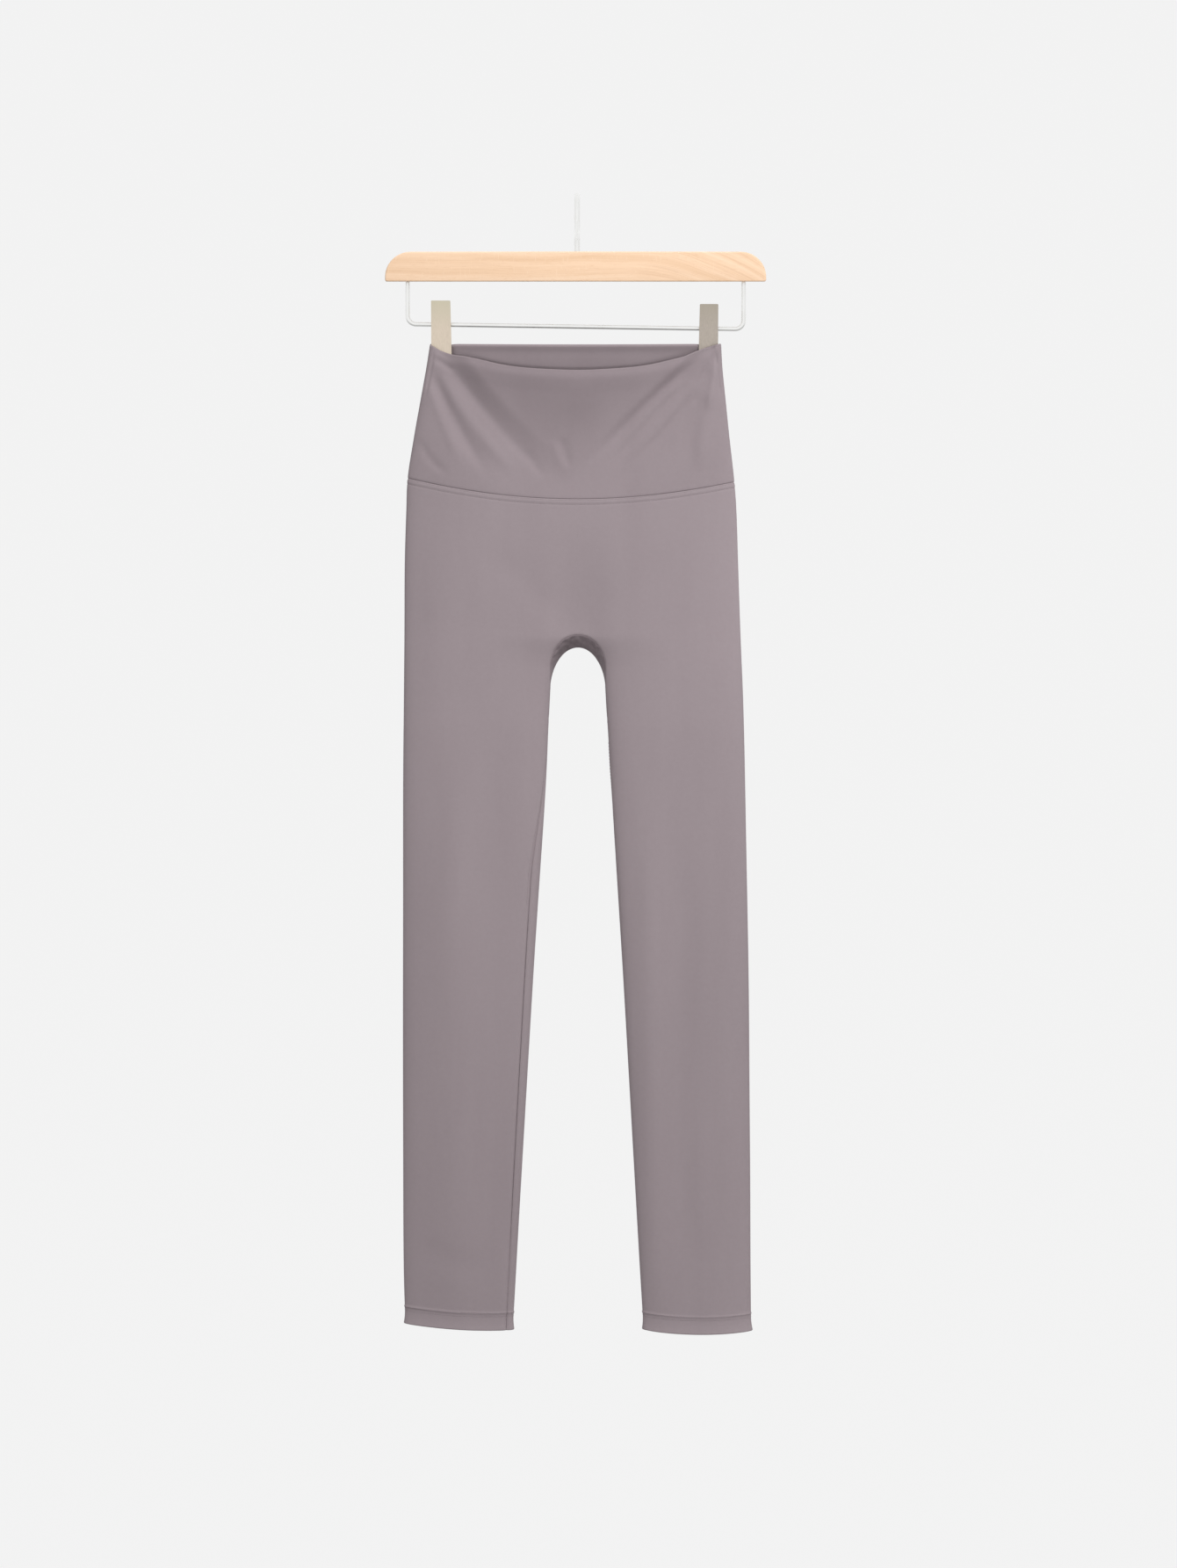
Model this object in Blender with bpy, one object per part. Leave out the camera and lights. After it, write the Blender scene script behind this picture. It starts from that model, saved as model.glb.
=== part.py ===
# High-waist leggings, hung by their back waistband from a wooden hanger with two clips.
# Lengths are in millimetres and become metres where an object is made.
# The origin is the seat of the hook, +Z is up and the front of the garment faces -Y.
# A "drop" is a distance below the seat; left and right are those of the front view.

import math
from collections import namedtuple

import bmesh
import bpy
from mathutils import Matrix, Vector

for old_object in list(bpy.data.objects):
    bpy.data.objects.remove(old_object, do_unlink=True)

MM = 0.001
LEFT, RIGHT = -1, 1
FRONT, BACK = -1, 1
SIDES = (LEFT, RIGHT)

# ---- Cloth: thicknesses and clearances
LEG_CLOTH = 1.3
HEM_CLOTH = 2.2
HEM_HEIGHT = 15.0
BAND_CLOTH = 2.0
SEAM_GAP = 0.3

# ---- Cloth: outline. The side folds and the inner folds of the legs, by drop.
Edge = namedtuple("Edge", "drop left right")
SIDE_FOLDS = [
    Edge(136, -138.0, 134.8),
    Edge(160, -141.7, 136.2),
    Edge(192, -147.4, 139.4),
    Edge(225, -153.2, 142.8),
    Edge(262, -158.8, 147.0),
    Edge(291, -160.0, 149.2),
    Edge(341, -161.4, 150.9),
    Edge(408, -161.7, 153.2),
    Edge(472, -162.3, 155.7),
    Edge(555, -163.0, 157.6),
    Edge(720, -163.1, 160.6),
    Edge(884, -163.0, 162.0),
    Edge(1000, -162.4, 162.6),
    Edge(1062, -160.6, 163.2),
]
INNER_FOLDS = [
    Edge(430, -24.4, 26.0),
    Edge(472, -25.8, 27.2),
    Edge(555, -29.7, 32.3),
    Edge(720, -40.4, 42.6),
    Edge(884, -50.2, 52.0),
    Edge(1062, -60.4, 62.4),
]

# ---- Cloth: how far front and back stand away from the plane of the side folds
FOLD_Y = -3.5
Depth = namedtuple("Depth", "drop front back")
DEPTHS = [
    Depth(262, 15.0, 13.0),
    Depth(341, 16.0, 17.0),
    Depth(408, 16.0, 17.0),
    Depth(472, 15.5, 16.0),
    Depth(637, 14.0, 14.5),
    Depth(802, 12.5, 13.0),
    Depth(967, 10.5, 11.0),
    Depth(1062, 9.0, 9.0),
]
BODY_ROUNDNESS = 2.6
CROTCH_DIP = 0.45
CROTCH_DIP_WIDTH = 32.0
CROTCH_DIP_START = 300.0

# ---- Cloth: waistband
CORNER_DROP = 136.0
BAND_TOP_CENTRE = {FRONT: 163.5, BACK: 136.4}
BAND_SEAM_SIDE = {LEFT: 262.5, RIGHT: 266.0}
BAND_SEAM_CENTRE = {FRONT: 283.0, BACK: 270.0}
CORNER_DEPTH = 4.5
CORNER_ROLL = 6.0
CLAMPED_SHARE = 0.17
FRONT_EDGE_SAG_FORWARD = 12.5

# Soft folds of the waistband: start, middle, end, half width and depth (a ridge is negative)
Fold = namedtuple("Fold", "x0 drop0 x1 drop1 x2 drop2 width depth")
FRONT_FOLDS = [
    Fold(-121, 150, -88, 201, -38, 250, 10.0, 3.6),
    Fold(-129, 156, -98, 213, -55, 258, 8.0, -1.8),
    Fold(-134, 164, -110, 212, -70, 257, 7.0, 2.2),
    Fold(-145, 194, -127, 226, -104, 258, 6.5, 1.5),
    Fold(126, 150, 80, 185, 20, 250, 10.0, 3.2),
    Fold(129, 156, 93, 196, 32, 258, 8.0, -1.6),
    Fold(131, 160, 98, 208, 28, 265, 8.0, 2.5),
    Fold(134, 160, 128, 178, 114, 200, 6.5, 1.5),
    Fold(-28, 228, -19, 245, -8, 260, 7.0, 1.6),
    Fold(-2, 178, -2, 214, -4, 257, 36.0, 2.6),
]
BACK_FOLDS = [
    Fold(-112, 160, -82, 206, -30, 246, 10.0, 2.4),
    Fold(-133, 172, -110, 214, -70, 254, 7.5, 1.8),
    Fold(112, 162, 76, 198, 24, 240, 10.0, 2.2),
    Fold(128, 176, 104, 210, 60, 252, 7.5, 1.8),
    Fold(0, 168, 0, 200, 2, 250, 34.0, 1.6),
]

# ---- Cloth: crotch, gusset and legs
CROTCH_X = 0.8
ARCH_TOP = {FRONT: 409.1, BACK: 420.6}
ARCH_HEIGHT = {FRONT: 30.5, BACK: 44.0}
GUSSET_TIP = 490.0
GUSSET_TIP_RETREAT = 3.0
GUSSET_BULGE = 2.0
GUSSET_GAP = 0.6
# Angle round each leg, from its side fold over the front, at which the inseam lies.
# It starts on the inner fold at the gusset's tip and reaches this angle some rows below.
INNER_FOLD_ANGLE = 180.0
INSEAM_ANGLE = {LEFT: 152.0, RIGHT: 208.0}
INSEAM_TURN_ROWS = 4
HEM_SIDE = {LEFT: 1053.5, RIGHT: 1060.8}
HEM_INNER = {LEFT: 1060.4, RIGHT: 1059.2}
HEM_SAG = {LEFT: 1.6, RIGHT: 3.8}
HEM_SAG_START = 900.0

# ---- Cloth: rows and columns of the walls
BODY_ROWS = 6
ARCH_ROWS = 6
GUSSET_ROWS = 3
LEG_ROWS = 14
PANEL_COLUMNS = 11
GUSSET_COLUMNS = 4
BAND_ROWS = 13
BAND_COLUMNS = {FRONT: 24, BACK: 17}
FOLD_SAMPLES = 12

ARCH_ROW = BODY_ROWS
ARCH_END_ROW = ARCH_ROW + ARCH_ROWS
TIP_ROW = ARCH_END_ROW + GUSSET_ROWS
HEM_TOP_ROW = TIP_ROW + LEG_ROWS
HEM_STEP = 0.8
LAST_ROW = HEM_TOP_ROW + 2
# Drop of the side fold at the row of the arch's top, at the row of its foot and at the gusset's tip
SIDE_AT_ARCH = 388.0
SIDE_AT_ARCH_END = 462.0
SIDE_AT_TIP = 500.0
PANEL_SEAM_COLUMN = 1
BAND_SEAM_COLUMN = 2
# Share of the half width reached at a share of the columns: close at the fold, wide at the centre
COLUMN_START = 0.16
COLUMN_GROWTH = 1.28
LEG_BLEND_POWER = 1.5
# Where a fold of the waistband dies away: at its own ends, above the seam and beside the side fold
FOLD_END_SHARE = 0.3
FOLD_END_REST = 0.1
FOLD_SEAM_SHARE = 0.14
FOLD_SIDE_START = 3.0
FOLD_SIDE_SPAN = 9.0
BAND_OPENING_POWER = 1.2
SMOOTHED_ANGLE = 40.0

# ---- Hanger
BAR_HALF_LENGTH = 180.0
BAR_TOP_CENTRE = 47.8
BAR_TOP_END = 49.8
BAR_BOTTOM = 76.2
BAR_THICKNESS = 12.0
BAR_END_RADIUS = 16.0
BAR_LOWER_RADIUS = 4.0
BAR_EDGE = 1.6
HOOK_WIRE = 3.6
HOOK_INNER_RADIUS = 15.5
HOOK_STEM_END = 62.0
HOOK_RING_START = -65.0
HOOK_RING_END = 205.0
HOOK_RING_STEPS = 24
HOOK_NECK_DROP = 9.5
HOOK_NECK_PULLS = (4.5, 4.0)
HOOK_NECK_STEPS = 7
RAIL_WIRE = 3.0
RAIL_ENDS = {LEFT: -158.2, RIGHT: 155.8}
RAIL_DROPS = {LEFT: 118.0, RIGHT: 122.2}
RAIL_TOP = 66.0
RAIL_CORNER = 8.0
WIRE_CLEARANCE = 0.3
CUTTER_MARGIN = 5.0
ARC_STEPS = 6
BEVEL_ANGLE = 50.0

# ---- Clips
CLIP_INNER_X = {LEFT: -117.6, RIGHT: 114.2}
CLIP_OUTER_X = {LEFT: -135.2, RIGHT: 131.6}
CLIP_FLARE = 1.8
CLIP_TOP = {LEFT: 94.4, RIGHT: 98.0}
CLIP_HEIGHT = 58.0
CLIP_METAL = 1.2
CLIP_EAR = 1.2
CLIP_EAR_REACH = 4.0
CLIP_EAR_HALF_HEIGHT = 5.5
CLIP_TOP_Y = 9.4
CLIP_PIVOT_Y = 6.2
PAD_THICKNESS = 1.0
PAD_HEIGHT = 13.0
PAD_MARGIN = 2.0
PAD_EDGE = 0.3


# ---------------------------------------------------------------- small tools
def mix(start, end, share):
    return start + (end - start) * share


def smooth_step(value):
    value = min(max(value, 0.0), 1.0)
    return value * value * (3.0 - 2.0 * value)


def read(table, drop, column):
    # Smooth curve through one column of a table that is ordered by drop.
    last = len(table) - 1
    row = 0
    while row < last - 1 and table[row + 1].drop < drop:
        row += 1

    def slope(index):
        before = table[max(index - 1, 0)]
        after = table[min(index + 1, last)]
        rise = getattr(after, column) - getattr(before, column)
        return rise / (after.drop - before.drop)

    lower, upper = table[row], table[row + 1]
    span = upper.drop - lower.drop
    share = min(max((drop - lower.drop) / span, 0.0), 1.0)
    square, cube = share * share, share ** 3
    return (
        (2 * cube - 3 * square + 1) * getattr(lower, column)
        + (cube - 2 * square + share) * span * slope(row)
        + (3 * square - 2 * cube) * getattr(upper, column)
        + (cube - square) * span * slope(row + 1)
    )


def side_name(side):
    return "left" if side == LEFT else "right"


def panel_name(panel):
    return "front" if panel == FRONT else "back"


def roundness(share, power):
    # Rises from 0 at a fold to 1 on the face, as a superellipse does.
    share = min(max(share, 0.0), 1.0)
    return (1.0 - (1.0 - share) ** power) ** (1.0 / power)


def toward_centre(share):
    # Columns stand close together at the fold and wide apart at the centre.
    rest = 1 - COLUMN_START - COLUMN_GROWTH
    return share * (COLUMN_START + COLUMN_GROWTH * share + rest * share * share)


def linear_colour(red, green, blue):
    def channel(value):
        value /= 255.0
        return value / 12.92 if value <= 0.04045 else ((value + 0.055) / 1.055) ** 2.4

    return (channel(red), channel(green), channel(blue), 1.0)


def make_material(name, colour, roughness_value, metallic=0.0):
    material = bpy.data.materials.new(name)
    material.use_nodes = True
    shader = material.node_tree.nodes["Principled BSDF"]
    shader.inputs["Base Color"].default_value = linear_colour(*colour)
    shader.inputs["Roughness"].default_value = roughness_value
    shader.inputs["Metallic"].default_value = metallic
    return material


def link_object(name, data, material):
    made = bpy.data.objects.new(name, data)
    data.materials.append(material)
    bpy.context.scene.collection.objects.link(made)
    return made


def finish_mesh(name, shape, material):
    mesh = bpy.data.meshes.new(name)
    shape.to_mesh(mesh)
    shape.free()
    mesh.shade_smooth()
    mesh.set_sharp_from_angle(angle=math.radians(SMOOTHED_ANGLE))
    return link_object(name, mesh, material)


# ---------------------------------------------------------------- cloth walls
class Skin:
    # Outer surface of several pieces of cloth, welded where they meet, so that
    # neighbours share their normals and their walls end face to face.
    def __init__(self):
        self.points = {}
        self.cloth = {}
        self.pieces = {}

    def add_point(self, key, point, cloth):
        self.points[key] = Vector(point)
        self.cloth[key] = cloth

    def add_face(self, piece, keys, flip):
        ring = []
        for key in keys:
            if key not in ring:
                ring.append(key)
        if flip:
            ring.reverse()
        self.pieces.setdefault(piece, []).append(ring)

    def face_normal(self, ring):
        total = Vector()
        for index, key in enumerate(ring):
            total += self.points[key].cross(self.points[ring[(index + 1) % len(ring)]])
        return total

    def normals(self):
        found = {key: Vector() for key in self.points}
        for rings in self.pieces.values():
            for ring in rings:
                normal = self.face_normal(ring)
                for key in ring:
                    found[key] += normal
        return {key: normal.normalized() for key, normal in found.items()}


def border_of(rings):
    # Directed edges that only one face of the piece uses.
    used = set()
    for ring in rings:
        for index, key in enumerate(ring):
            used.add((key, ring[(index + 1) % len(ring)]))
    return [edge for edge in used if (edge[1], edge[0]) not in used]


def drawn_back(skin, rings, normals, step_back):
    # Border points step back along the cloth, which leaves the seam's gap.
    inward = {}
    for start, end in border_of(rings):
        along = (skin.points[end] - skin.points[start]).normalized()
        for key in (start, end):
            across = normals[key].cross(along).normalized()
            inward.setdefault(key, []).append(across)
    moved = {}
    for key, directions in inward.items():
        total = sum(directions, Vector())
        length = max(total.length / len(directions), 0.35)
        moved[key] = skin.points[key] + total.normalized() * (step_back / length)
    return moved


def wall_piece(skin, name, normals, material, step_back=SEAM_GAP / 2):
    rings = skin.pieces[name]
    moved = drawn_back(skin, rings, normals, step_back)
    shape = bmesh.new()
    outer, inner = {}, {}
    for key in sorted({key for ring in rings for key in ring}, key=str):
        place = moved.get(key, skin.points[key])
        outer[key] = shape.verts.new(place * MM)
        inner[key] = shape.verts.new((place - normals[key] * skin.cloth[key]) * MM)
    for ring in rings:
        shape.faces.new([outer[key] for key in ring])
        shape.faces.new([inner[key] for key in reversed(ring)])
    for start, end in sorted(border_of(rings), key=str):
        shape.faces.new([outer[end], outer[start], inner[start], inner[end]])
    return finish_mesh(name, shape, material)


# ---------------------------------------------------------------- waistband
def fold_route(fold):
    # Points along one fold, which bends evenly from start to end through its middle.
    route = []
    for step in range(FOLD_SAMPLES + 1):
        share = step / FOLD_SAMPLES
        first = 2 * (share - 0.5) * (share - 1)
        second = 4 * share * (1 - share)
        third = 2 * share * (share - 0.5)
        x = first * fold.x0 + second * fold.x1 + third * fold.x2
        drop = first * fold.drop0 + second * fold.drop1 + third * fold.drop2
        route.append((x, drop))
    return route


ROUTES = {
    FRONT: [(fold, fold_route(fold)) for fold in FRONT_FOLDS],
    BACK: [(fold, fold_route(fold)) for fold in BACK_FOLDS],
}


def fold_depth(panel, x, drop):
    total = 0.0
    for fold, route in ROUTES[panel]:
        nearest, place = None, 0.0
        for index in range(FOLD_SAMPLES):
            (ax, ad), (bx, bd) = route[index], route[index + 1]
            length_squared = (bx - ax) ** 2 + (bd - ad) ** 2
            share = ((x - ax) * (bx - ax) + (drop - ad) * (bd - ad)) / length_squared
            share = min(max(share, 0.0), 1.0)
            distance = math.hypot(x - mix(ax, bx, share), drop - mix(ad, bd, share))
            if nearest is None or distance < nearest:
                nearest, place = distance, (index + share) / FOLD_SAMPLES
        ends = smooth_step(place / FOLD_END_SHARE + FOLD_END_REST)
        ends *= smooth_step((1 - place) / FOLD_END_SHARE + FOLD_END_REST)
        total += fold.depth * ends * math.exp(-((nearest / fold.width) ** 2))
    return total


def band_point(panel, side, across, down):
    # across runs from the side fold to the centre, down from the top edge to the seam.
    share = toward_centre(across)
    crown = share * (2 - share)
    side_drop = mix(CORNER_DROP, BAND_SEAM_SIDE[side], down)
    centre_drop = mix(BAND_TOP_CENTRE[panel], BAND_SEAM_CENTRE[panel], down)
    drop = mix(side_drop, centre_drop, crown)
    edge = read(SIDE_FOLDS, side_drop, side_name(side))
    x = mix(edge, 0.0, share)
    from_edge = abs(x - edge)
    opened = max(0.0, (down - CLAMPED_SHARE) / (1 - CLAMPED_SHARE))
    roll = CORNER_ROLL * (abs(edge) / CORNER_ROLL) ** opened
    power = mix(2.0, BODY_ROUNDNESS, opened)
    seam_depth = read(DEPTHS, BAND_SEAM_SIDE[side], panel_name(panel))
    depth = mix(CORNER_DEPTH, seam_depth, opened ** BAND_OPENING_POWER) * roundness(from_edge / roll, power)
    if panel == FRONT:
        depth += FRONT_EDGE_SAG_FORWARD * (1 - down) ** BAND_OPENING_POWER * crown
    fade = smooth_step((1 - down) / FOLD_SEAM_SHARE)
    fade *= smooth_step((from_edge - FOLD_SIDE_START) / FOLD_SIDE_SPAN)
    depth -= fade * fold_depth(panel, x, drop)
    return (x, FOLD_Y + panel * depth, -drop)


def band_key(panel, side, row, column):
    if column == 0:
        return ("fold", side, row)
    if column == BAND_COLUMNS[panel]:
        return ("centre", panel, row)
    return (panel, side, row, column)


def build_waistband(material):
    skin = Skin()
    for panel in (FRONT, BACK):
        columns = BAND_COLUMNS[panel]
        for side in SIDES:
            for row in range(BAND_ROWS + 1):
                for column in range(columns + 1):
                    place = band_point(panel, side, column / columns, row / BAND_ROWS)
                    skin.add_point(band_key(panel, side, row, column), place, BAND_CLOTH)
            for row in range(BAND_ROWS):
                for column in range(columns):
                    in_front = panel == FRONT or column < BAND_SEAM_COLUMN
                    corners = ((row, column), (row + 1, column))
                    corners += ((row + 1, column + 1), (row, column + 1))
                    keys = [band_key(panel, side, *corner) for corner in corners]
                    piece = "waistband_front" if in_front else "waistband_back"
                    skin.add_face(piece, keys, panel * side == LEFT * BACK)
    normals = skin.normals()
    for name in ("waistband_front", "waistband_back"):
        wall_piece(skin, name, normals, material)


# ---------------------------------------------------------------- panels and gusset
def side_drop_of(side, row):
    hem = HEM_SIDE[side]
    if row <= ARCH_ROW:
        return mix(BAND_SEAM_SIDE[side], SIDE_AT_ARCH, row / BODY_ROWS)
    if row <= ARCH_END_ROW:
        return mix(SIDE_AT_ARCH, SIDE_AT_ARCH_END, (row - ARCH_ROW) / ARCH_ROWS)
    if row <= TIP_ROW:
        return mix(SIDE_AT_ARCH_END, SIDE_AT_TIP, (row - ARCH_END_ROW) / GUSSET_ROWS)
    return leg_drop(SIDE_AT_TIP, hem, row)


def leg_drop(start, hem, row):
    # The last two rows carry the step in thickness where the hem is turned up.
    hem_top = hem - HEM_HEIGHT
    if row <= HEM_TOP_ROW:
        return mix(start, hem_top, (row - TIP_ROW) / LEG_ROWS)
    return hem_top + HEM_STEP if row == HEM_TOP_ROW + 1 else hem


def arch_angle(row):
    return math.radians(90.0 * min(max((row - ARCH_ROW) / ARCH_ROWS, 0.0), 1.0))


def inner_edge(panel, side, row):
    # Place of a panel's inner end in a row: centre line, then arch, then inner fold.
    if row <= ARCH_ROW:
        drop = mix(BAND_SEAM_CENTRE[panel], ARCH_TOP[panel], row / BODY_ROWS)
        return mix(0.0, CROTCH_X, row / BODY_ROWS), drop
    foot = ARCH_TOP[panel] + ARCH_HEIGHT[panel]
    if row <= ARCH_END_ROW:
        angle = arch_angle(row)
        reach = read(INNER_FOLDS, foot, side_name(side)) - CROTCH_X
        drop = ARCH_TOP[panel] + ARCH_HEIGHT[panel] * (1 - math.cos(angle))
        return CROTCH_X + reach * math.sin(angle), drop
    if row <= TIP_ROW:
        drop = mix(foot, GUSSET_TIP, (row - ARCH_END_ROW) / GUSSET_ROWS)
    else:
        drop = leg_drop(GUSSET_TIP, HEM_INNER[side], row)
    return read(INNER_FOLDS, drop, side_name(side)), drop


def panel_point(panel, side, row, column):
    across = column / PANEL_COLUMNS
    side_drop = side_drop_of(side, row)
    inner_x, inner_drop = inner_edge(panel, side, row)
    outer_x = read(SIDE_FOLDS, side_drop, side_name(side))
    middle_drop = mix(side_drop, inner_drop, 0.5)
    depth = read(DEPTHS, middle_drop, panel_name(panel))
    into_leg = min(max((row - ARCH_ROW) / (TIP_ROW - ARCH_ROW), 0.0), 1.0) ** LEG_BLEND_POWER

    # As part of the body: a half of one wide lens, dented at the crotch.
    body_share = toward_centre(across)
    body_x = mix(outer_x, inner_x, body_share)
    body_y = depth * roundness(body_share, BODY_ROUNDNESS)
    dip_span = ARCH_TOP[panel] - CROTCH_DIP_START
    dip = CROTCH_DIP * smooth_step((inner_drop - CROTCH_DIP_START) / dip_span)
    body_y *= 1 - dip * math.exp(-(((body_x - CROTCH_X) / CROTCH_DIP_WIDTH) ** 2))

    # As part of a leg: a stretch of a closed lens, which ends at the inseam.
    turned = smooth_step((row - TIP_ROW) / INSEAM_TURN_ROWS)
    seam = mix(INNER_FOLD_ANGLE, INSEAM_ANGLE[side], turned)
    turn = seam * across if panel == FRONT else 360 - (360 - seam) * across
    along = math.cos(math.radians(turn))
    leg_share = (1 - along) / 2
    leg_x = mix(outer_x, inner_x, leg_share)
    leg_y = depth * (1 - abs(along) ** BODY_ROUNDNESS) ** (1 / BODY_ROUNDNESS)
    on_front = turn < 180
    leg_y *= FRONT if on_front else BACK

    share = mix(body_share, leg_share, into_leg)
    drop = mix(side_drop, inner_drop, share * (2 - share))
    sag_span = HEM_SIDE[side] - HEM_SAG_START
    sag = HEM_SAG[side] * smooth_step((drop - HEM_SAG_START) / sag_span)
    drop += sag * 4 * share * (1 - share)
    y = FOLD_Y + mix(panel * body_y, leg_y, into_leg)
    return Vector((mix(body_x, leg_x, into_leg), y, -drop))


def gusset_point(side, row, column):
    front = panel_point(FRONT, side, row, PANEL_COLUMNS)
    back = panel_point(BACK, side, row, PANEL_COLUMNS)
    share = column / GUSSET_COLUMNS
    angle = arch_angle(row)
    outward = Vector((-side * math.sin(angle), 0.0, -math.cos(angle)))
    width = (back - front).length
    full_width = (panel_point(BACK, side, ARCH_ROW, PANEL_COLUMNS)
                  - panel_point(FRONT, side, ARCH_ROW, PANEL_COLUMNS)).length
    bulge = GUSSET_BULGE * 4 * share * (1 - share) * (width / full_width) ** 2
    return front.lerp(back, share) + outward * bulge


def panel_key(panel, side, row, column):
    if column == 0:
        return ("fold", side, row)
    if column == PANEL_COLUMNS and row <= ARCH_ROW:
        return ("centre", panel, row)
    if column == PANEL_COLUMNS and row >= TIP_ROW:
        return ("inseam", side, row)
    return (panel, side, row, column)


def gusset_key(side, row, column):
    if column == 0 or row == TIP_ROW:
        return panel_key(FRONT, side, row, PANEL_COLUMNS)
    if column == GUSSET_COLUMNS:
        return panel_key(BACK, side, row, PANEL_COLUMNS)
    if row == ARCH_ROW:
        return ("gusset centre", column)
    return ("gusset", side, row, column)


def piece_of(panel, side, column):
    if panel == FRONT or column < PANEL_SEAM_COLUMN:
        return "front_panel"
    return "back_" + side_name(side)


def build_panels(material):
    skin = Skin()
    for panel in (FRONT, BACK):
        for side in SIDES:
            for row in range(LAST_ROW + 1):
                cloth = HEM_CLOTH if row > HEM_TOP_ROW else LEG_CLOTH
                for column in range(PANEL_COLUMNS + 1):
                    key = panel_key(panel, side, row, column)
                    skin.add_point(key, panel_point(panel, side, row, column), cloth)
            for row in range(LAST_ROW):
                for column in range(PANEL_COLUMNS):
                    corners = ((row, column), (row + 1, column))
                    corners += ((row + 1, column + 1), (row, column + 1))
                    keys = [panel_key(panel, side, *corner) for corner in corners]
                    flip = panel * side == LEFT * BACK
                    skin.add_face(piece_of(panel, side, column), keys, flip)
    for side in SIDES:
        for row in range(ARCH_ROW, TIP_ROW):
            for column in range(1, GUSSET_COLUMNS):
                key = gusset_key(side, row, column)
                skin.add_point(key, gusset_point(side, row, column), LEG_CLOTH)
        for row in range(ARCH_ROW, TIP_ROW):
            for column in range(GUSSET_COLUMNS):
                corners = ((row, column), (row + 1, column))
                corners += ((row + 1, column + 1), (row, column + 1))
                keys = [gusset_key(side, *corner) for corner in corners]
                skin.add_face("gusset", keys, side == RIGHT)
    normals = skin.normals()
    for name in ("front_panel", "back_left", "back_right"):
        wall_piece(skin, name, normals, material)
    for side in SIDES:
        # The gusset's own points end a little above the place where the panels meet.
        tip = ("inseam", side, TIP_ROW)
        above = skin.points[("gusset", side, TIP_ROW - 1, GUSSET_COLUMNS // 2)]
        retreat = (above - skin.points[tip]).normalized() * GUSSET_TIP_RETREAT
        skin.points[tip] = skin.points[tip] + retreat
    wall_piece(skin, "gusset", normals, material, GUSSET_GAP - SEAM_GAP / 2)


# ---------------------------------------------------------------- hanger
def rounded_outline(corners):
    # Polygon in x and drop whose corners, given with their radii, are turned into arcs.
    outline = []
    count = len(corners)
    for index, (x, drop, radius) in enumerate(corners):
        here = Vector((x, drop))
        if radius == 0:
            outline.append(here)
            continue
        before = (Vector(corners[index - 1][:2]) - here).normalized()
        after = (Vector(corners[(index + 1) % count][:2]) - here).normalized()
        half = math.acos(max(-1.0, min(1.0, before.dot(after)))) / 2
        centre = here + (before + after).normalized() * (radius / math.sin(half))
        start = here + before * (radius / math.tan(half)) - centre
        end = here + after * (radius / math.tan(half)) - centre
        sweep = start.angle_signed(end)
        for step in range(ARC_STEPS + 1):
            turned = start.copy()
            turned.rotate(Matrix.Rotation(-sweep * step / ARC_STEPS, 2))
            outline.append(centre + turned)
    return outline


def plate(name, outline, y_low, y_high, material):
    # Flat outline in x and drop, given its thickness along Y.
    shape = bmesh.new()
    ring = [shape.verts.new(Vector((x, y_low, -drop)) * MM) for x, drop in outline]
    face = shape.faces.new(ring)
    grown = bmesh.ops.extrude_face_region(shape, geom=[face])
    moved = [item for item in grown["geom"] if isinstance(item, bmesh.types.BMVert)]
    bmesh.ops.translate(shape, verts=moved, vec=Vector((0, (y_high - y_low) * MM, 0)))
    bmesh.ops.recalc_face_normals(shape, faces=shape.faces)
    return finish_mesh(name, shape, material)


def add_bevel(target, width, segments):
    bevel = target.modifiers.new("edge", "BEVEL")
    bevel.width = width * MM
    bevel.segments = segments
    bevel.limit_method = "ANGLE"
    bevel.angle_limit = math.radians(BEVEL_ANGLE)


def rod_cutter(name, start, end, radius):
    axis = Vector(end) - Vector(start)
    shape = bmesh.new()
    bmesh.ops.create_cone(
        shape, cap_ends=True, segments=16, radius1=radius * MM, radius2=radius * MM,
        depth=axis.length * MM,
    )
    mesh = bpy.data.meshes.new(name)
    shape.to_mesh(mesh)
    shape.free()
    cutter = bpy.data.objects.new(name, mesh)
    cutter.location = (Vector(start) + Vector(end)) / 2 * MM
    cutter.rotation_mode = "QUATERNION"
    cutter.rotation_quaternion = Vector((0, 0, 1)).rotation_difference(axis)
    cutter.hide_render = True
    cutter.display_type = "WIRE"
    bpy.context.scene.collection.objects.link(cutter)
    return cutter


def combine(target, other, operation):
    change = target.modifiers.new(other.name, "BOOLEAN")
    change.operation = operation
    change.object = other
    change.solver = "EXACT"


def wire(name, points, diameter, sides, material):
    curve = bpy.data.curves.new(name, "CURVE")
    curve.dimensions = "3D"
    curve.bevel_depth = diameter / 2 * MM
    curve.bevel_resolution = sides // 2 - 2
    curve.use_fill_caps = True
    spline = curve.splines.new("POLY")
    spline.points.add(len(points) - 1)
    for point, place in zip(spline.points, points):
        point.co = (*(Vector(place) * MM), 1.0)
    return link_object(name, curve, material)


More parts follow.
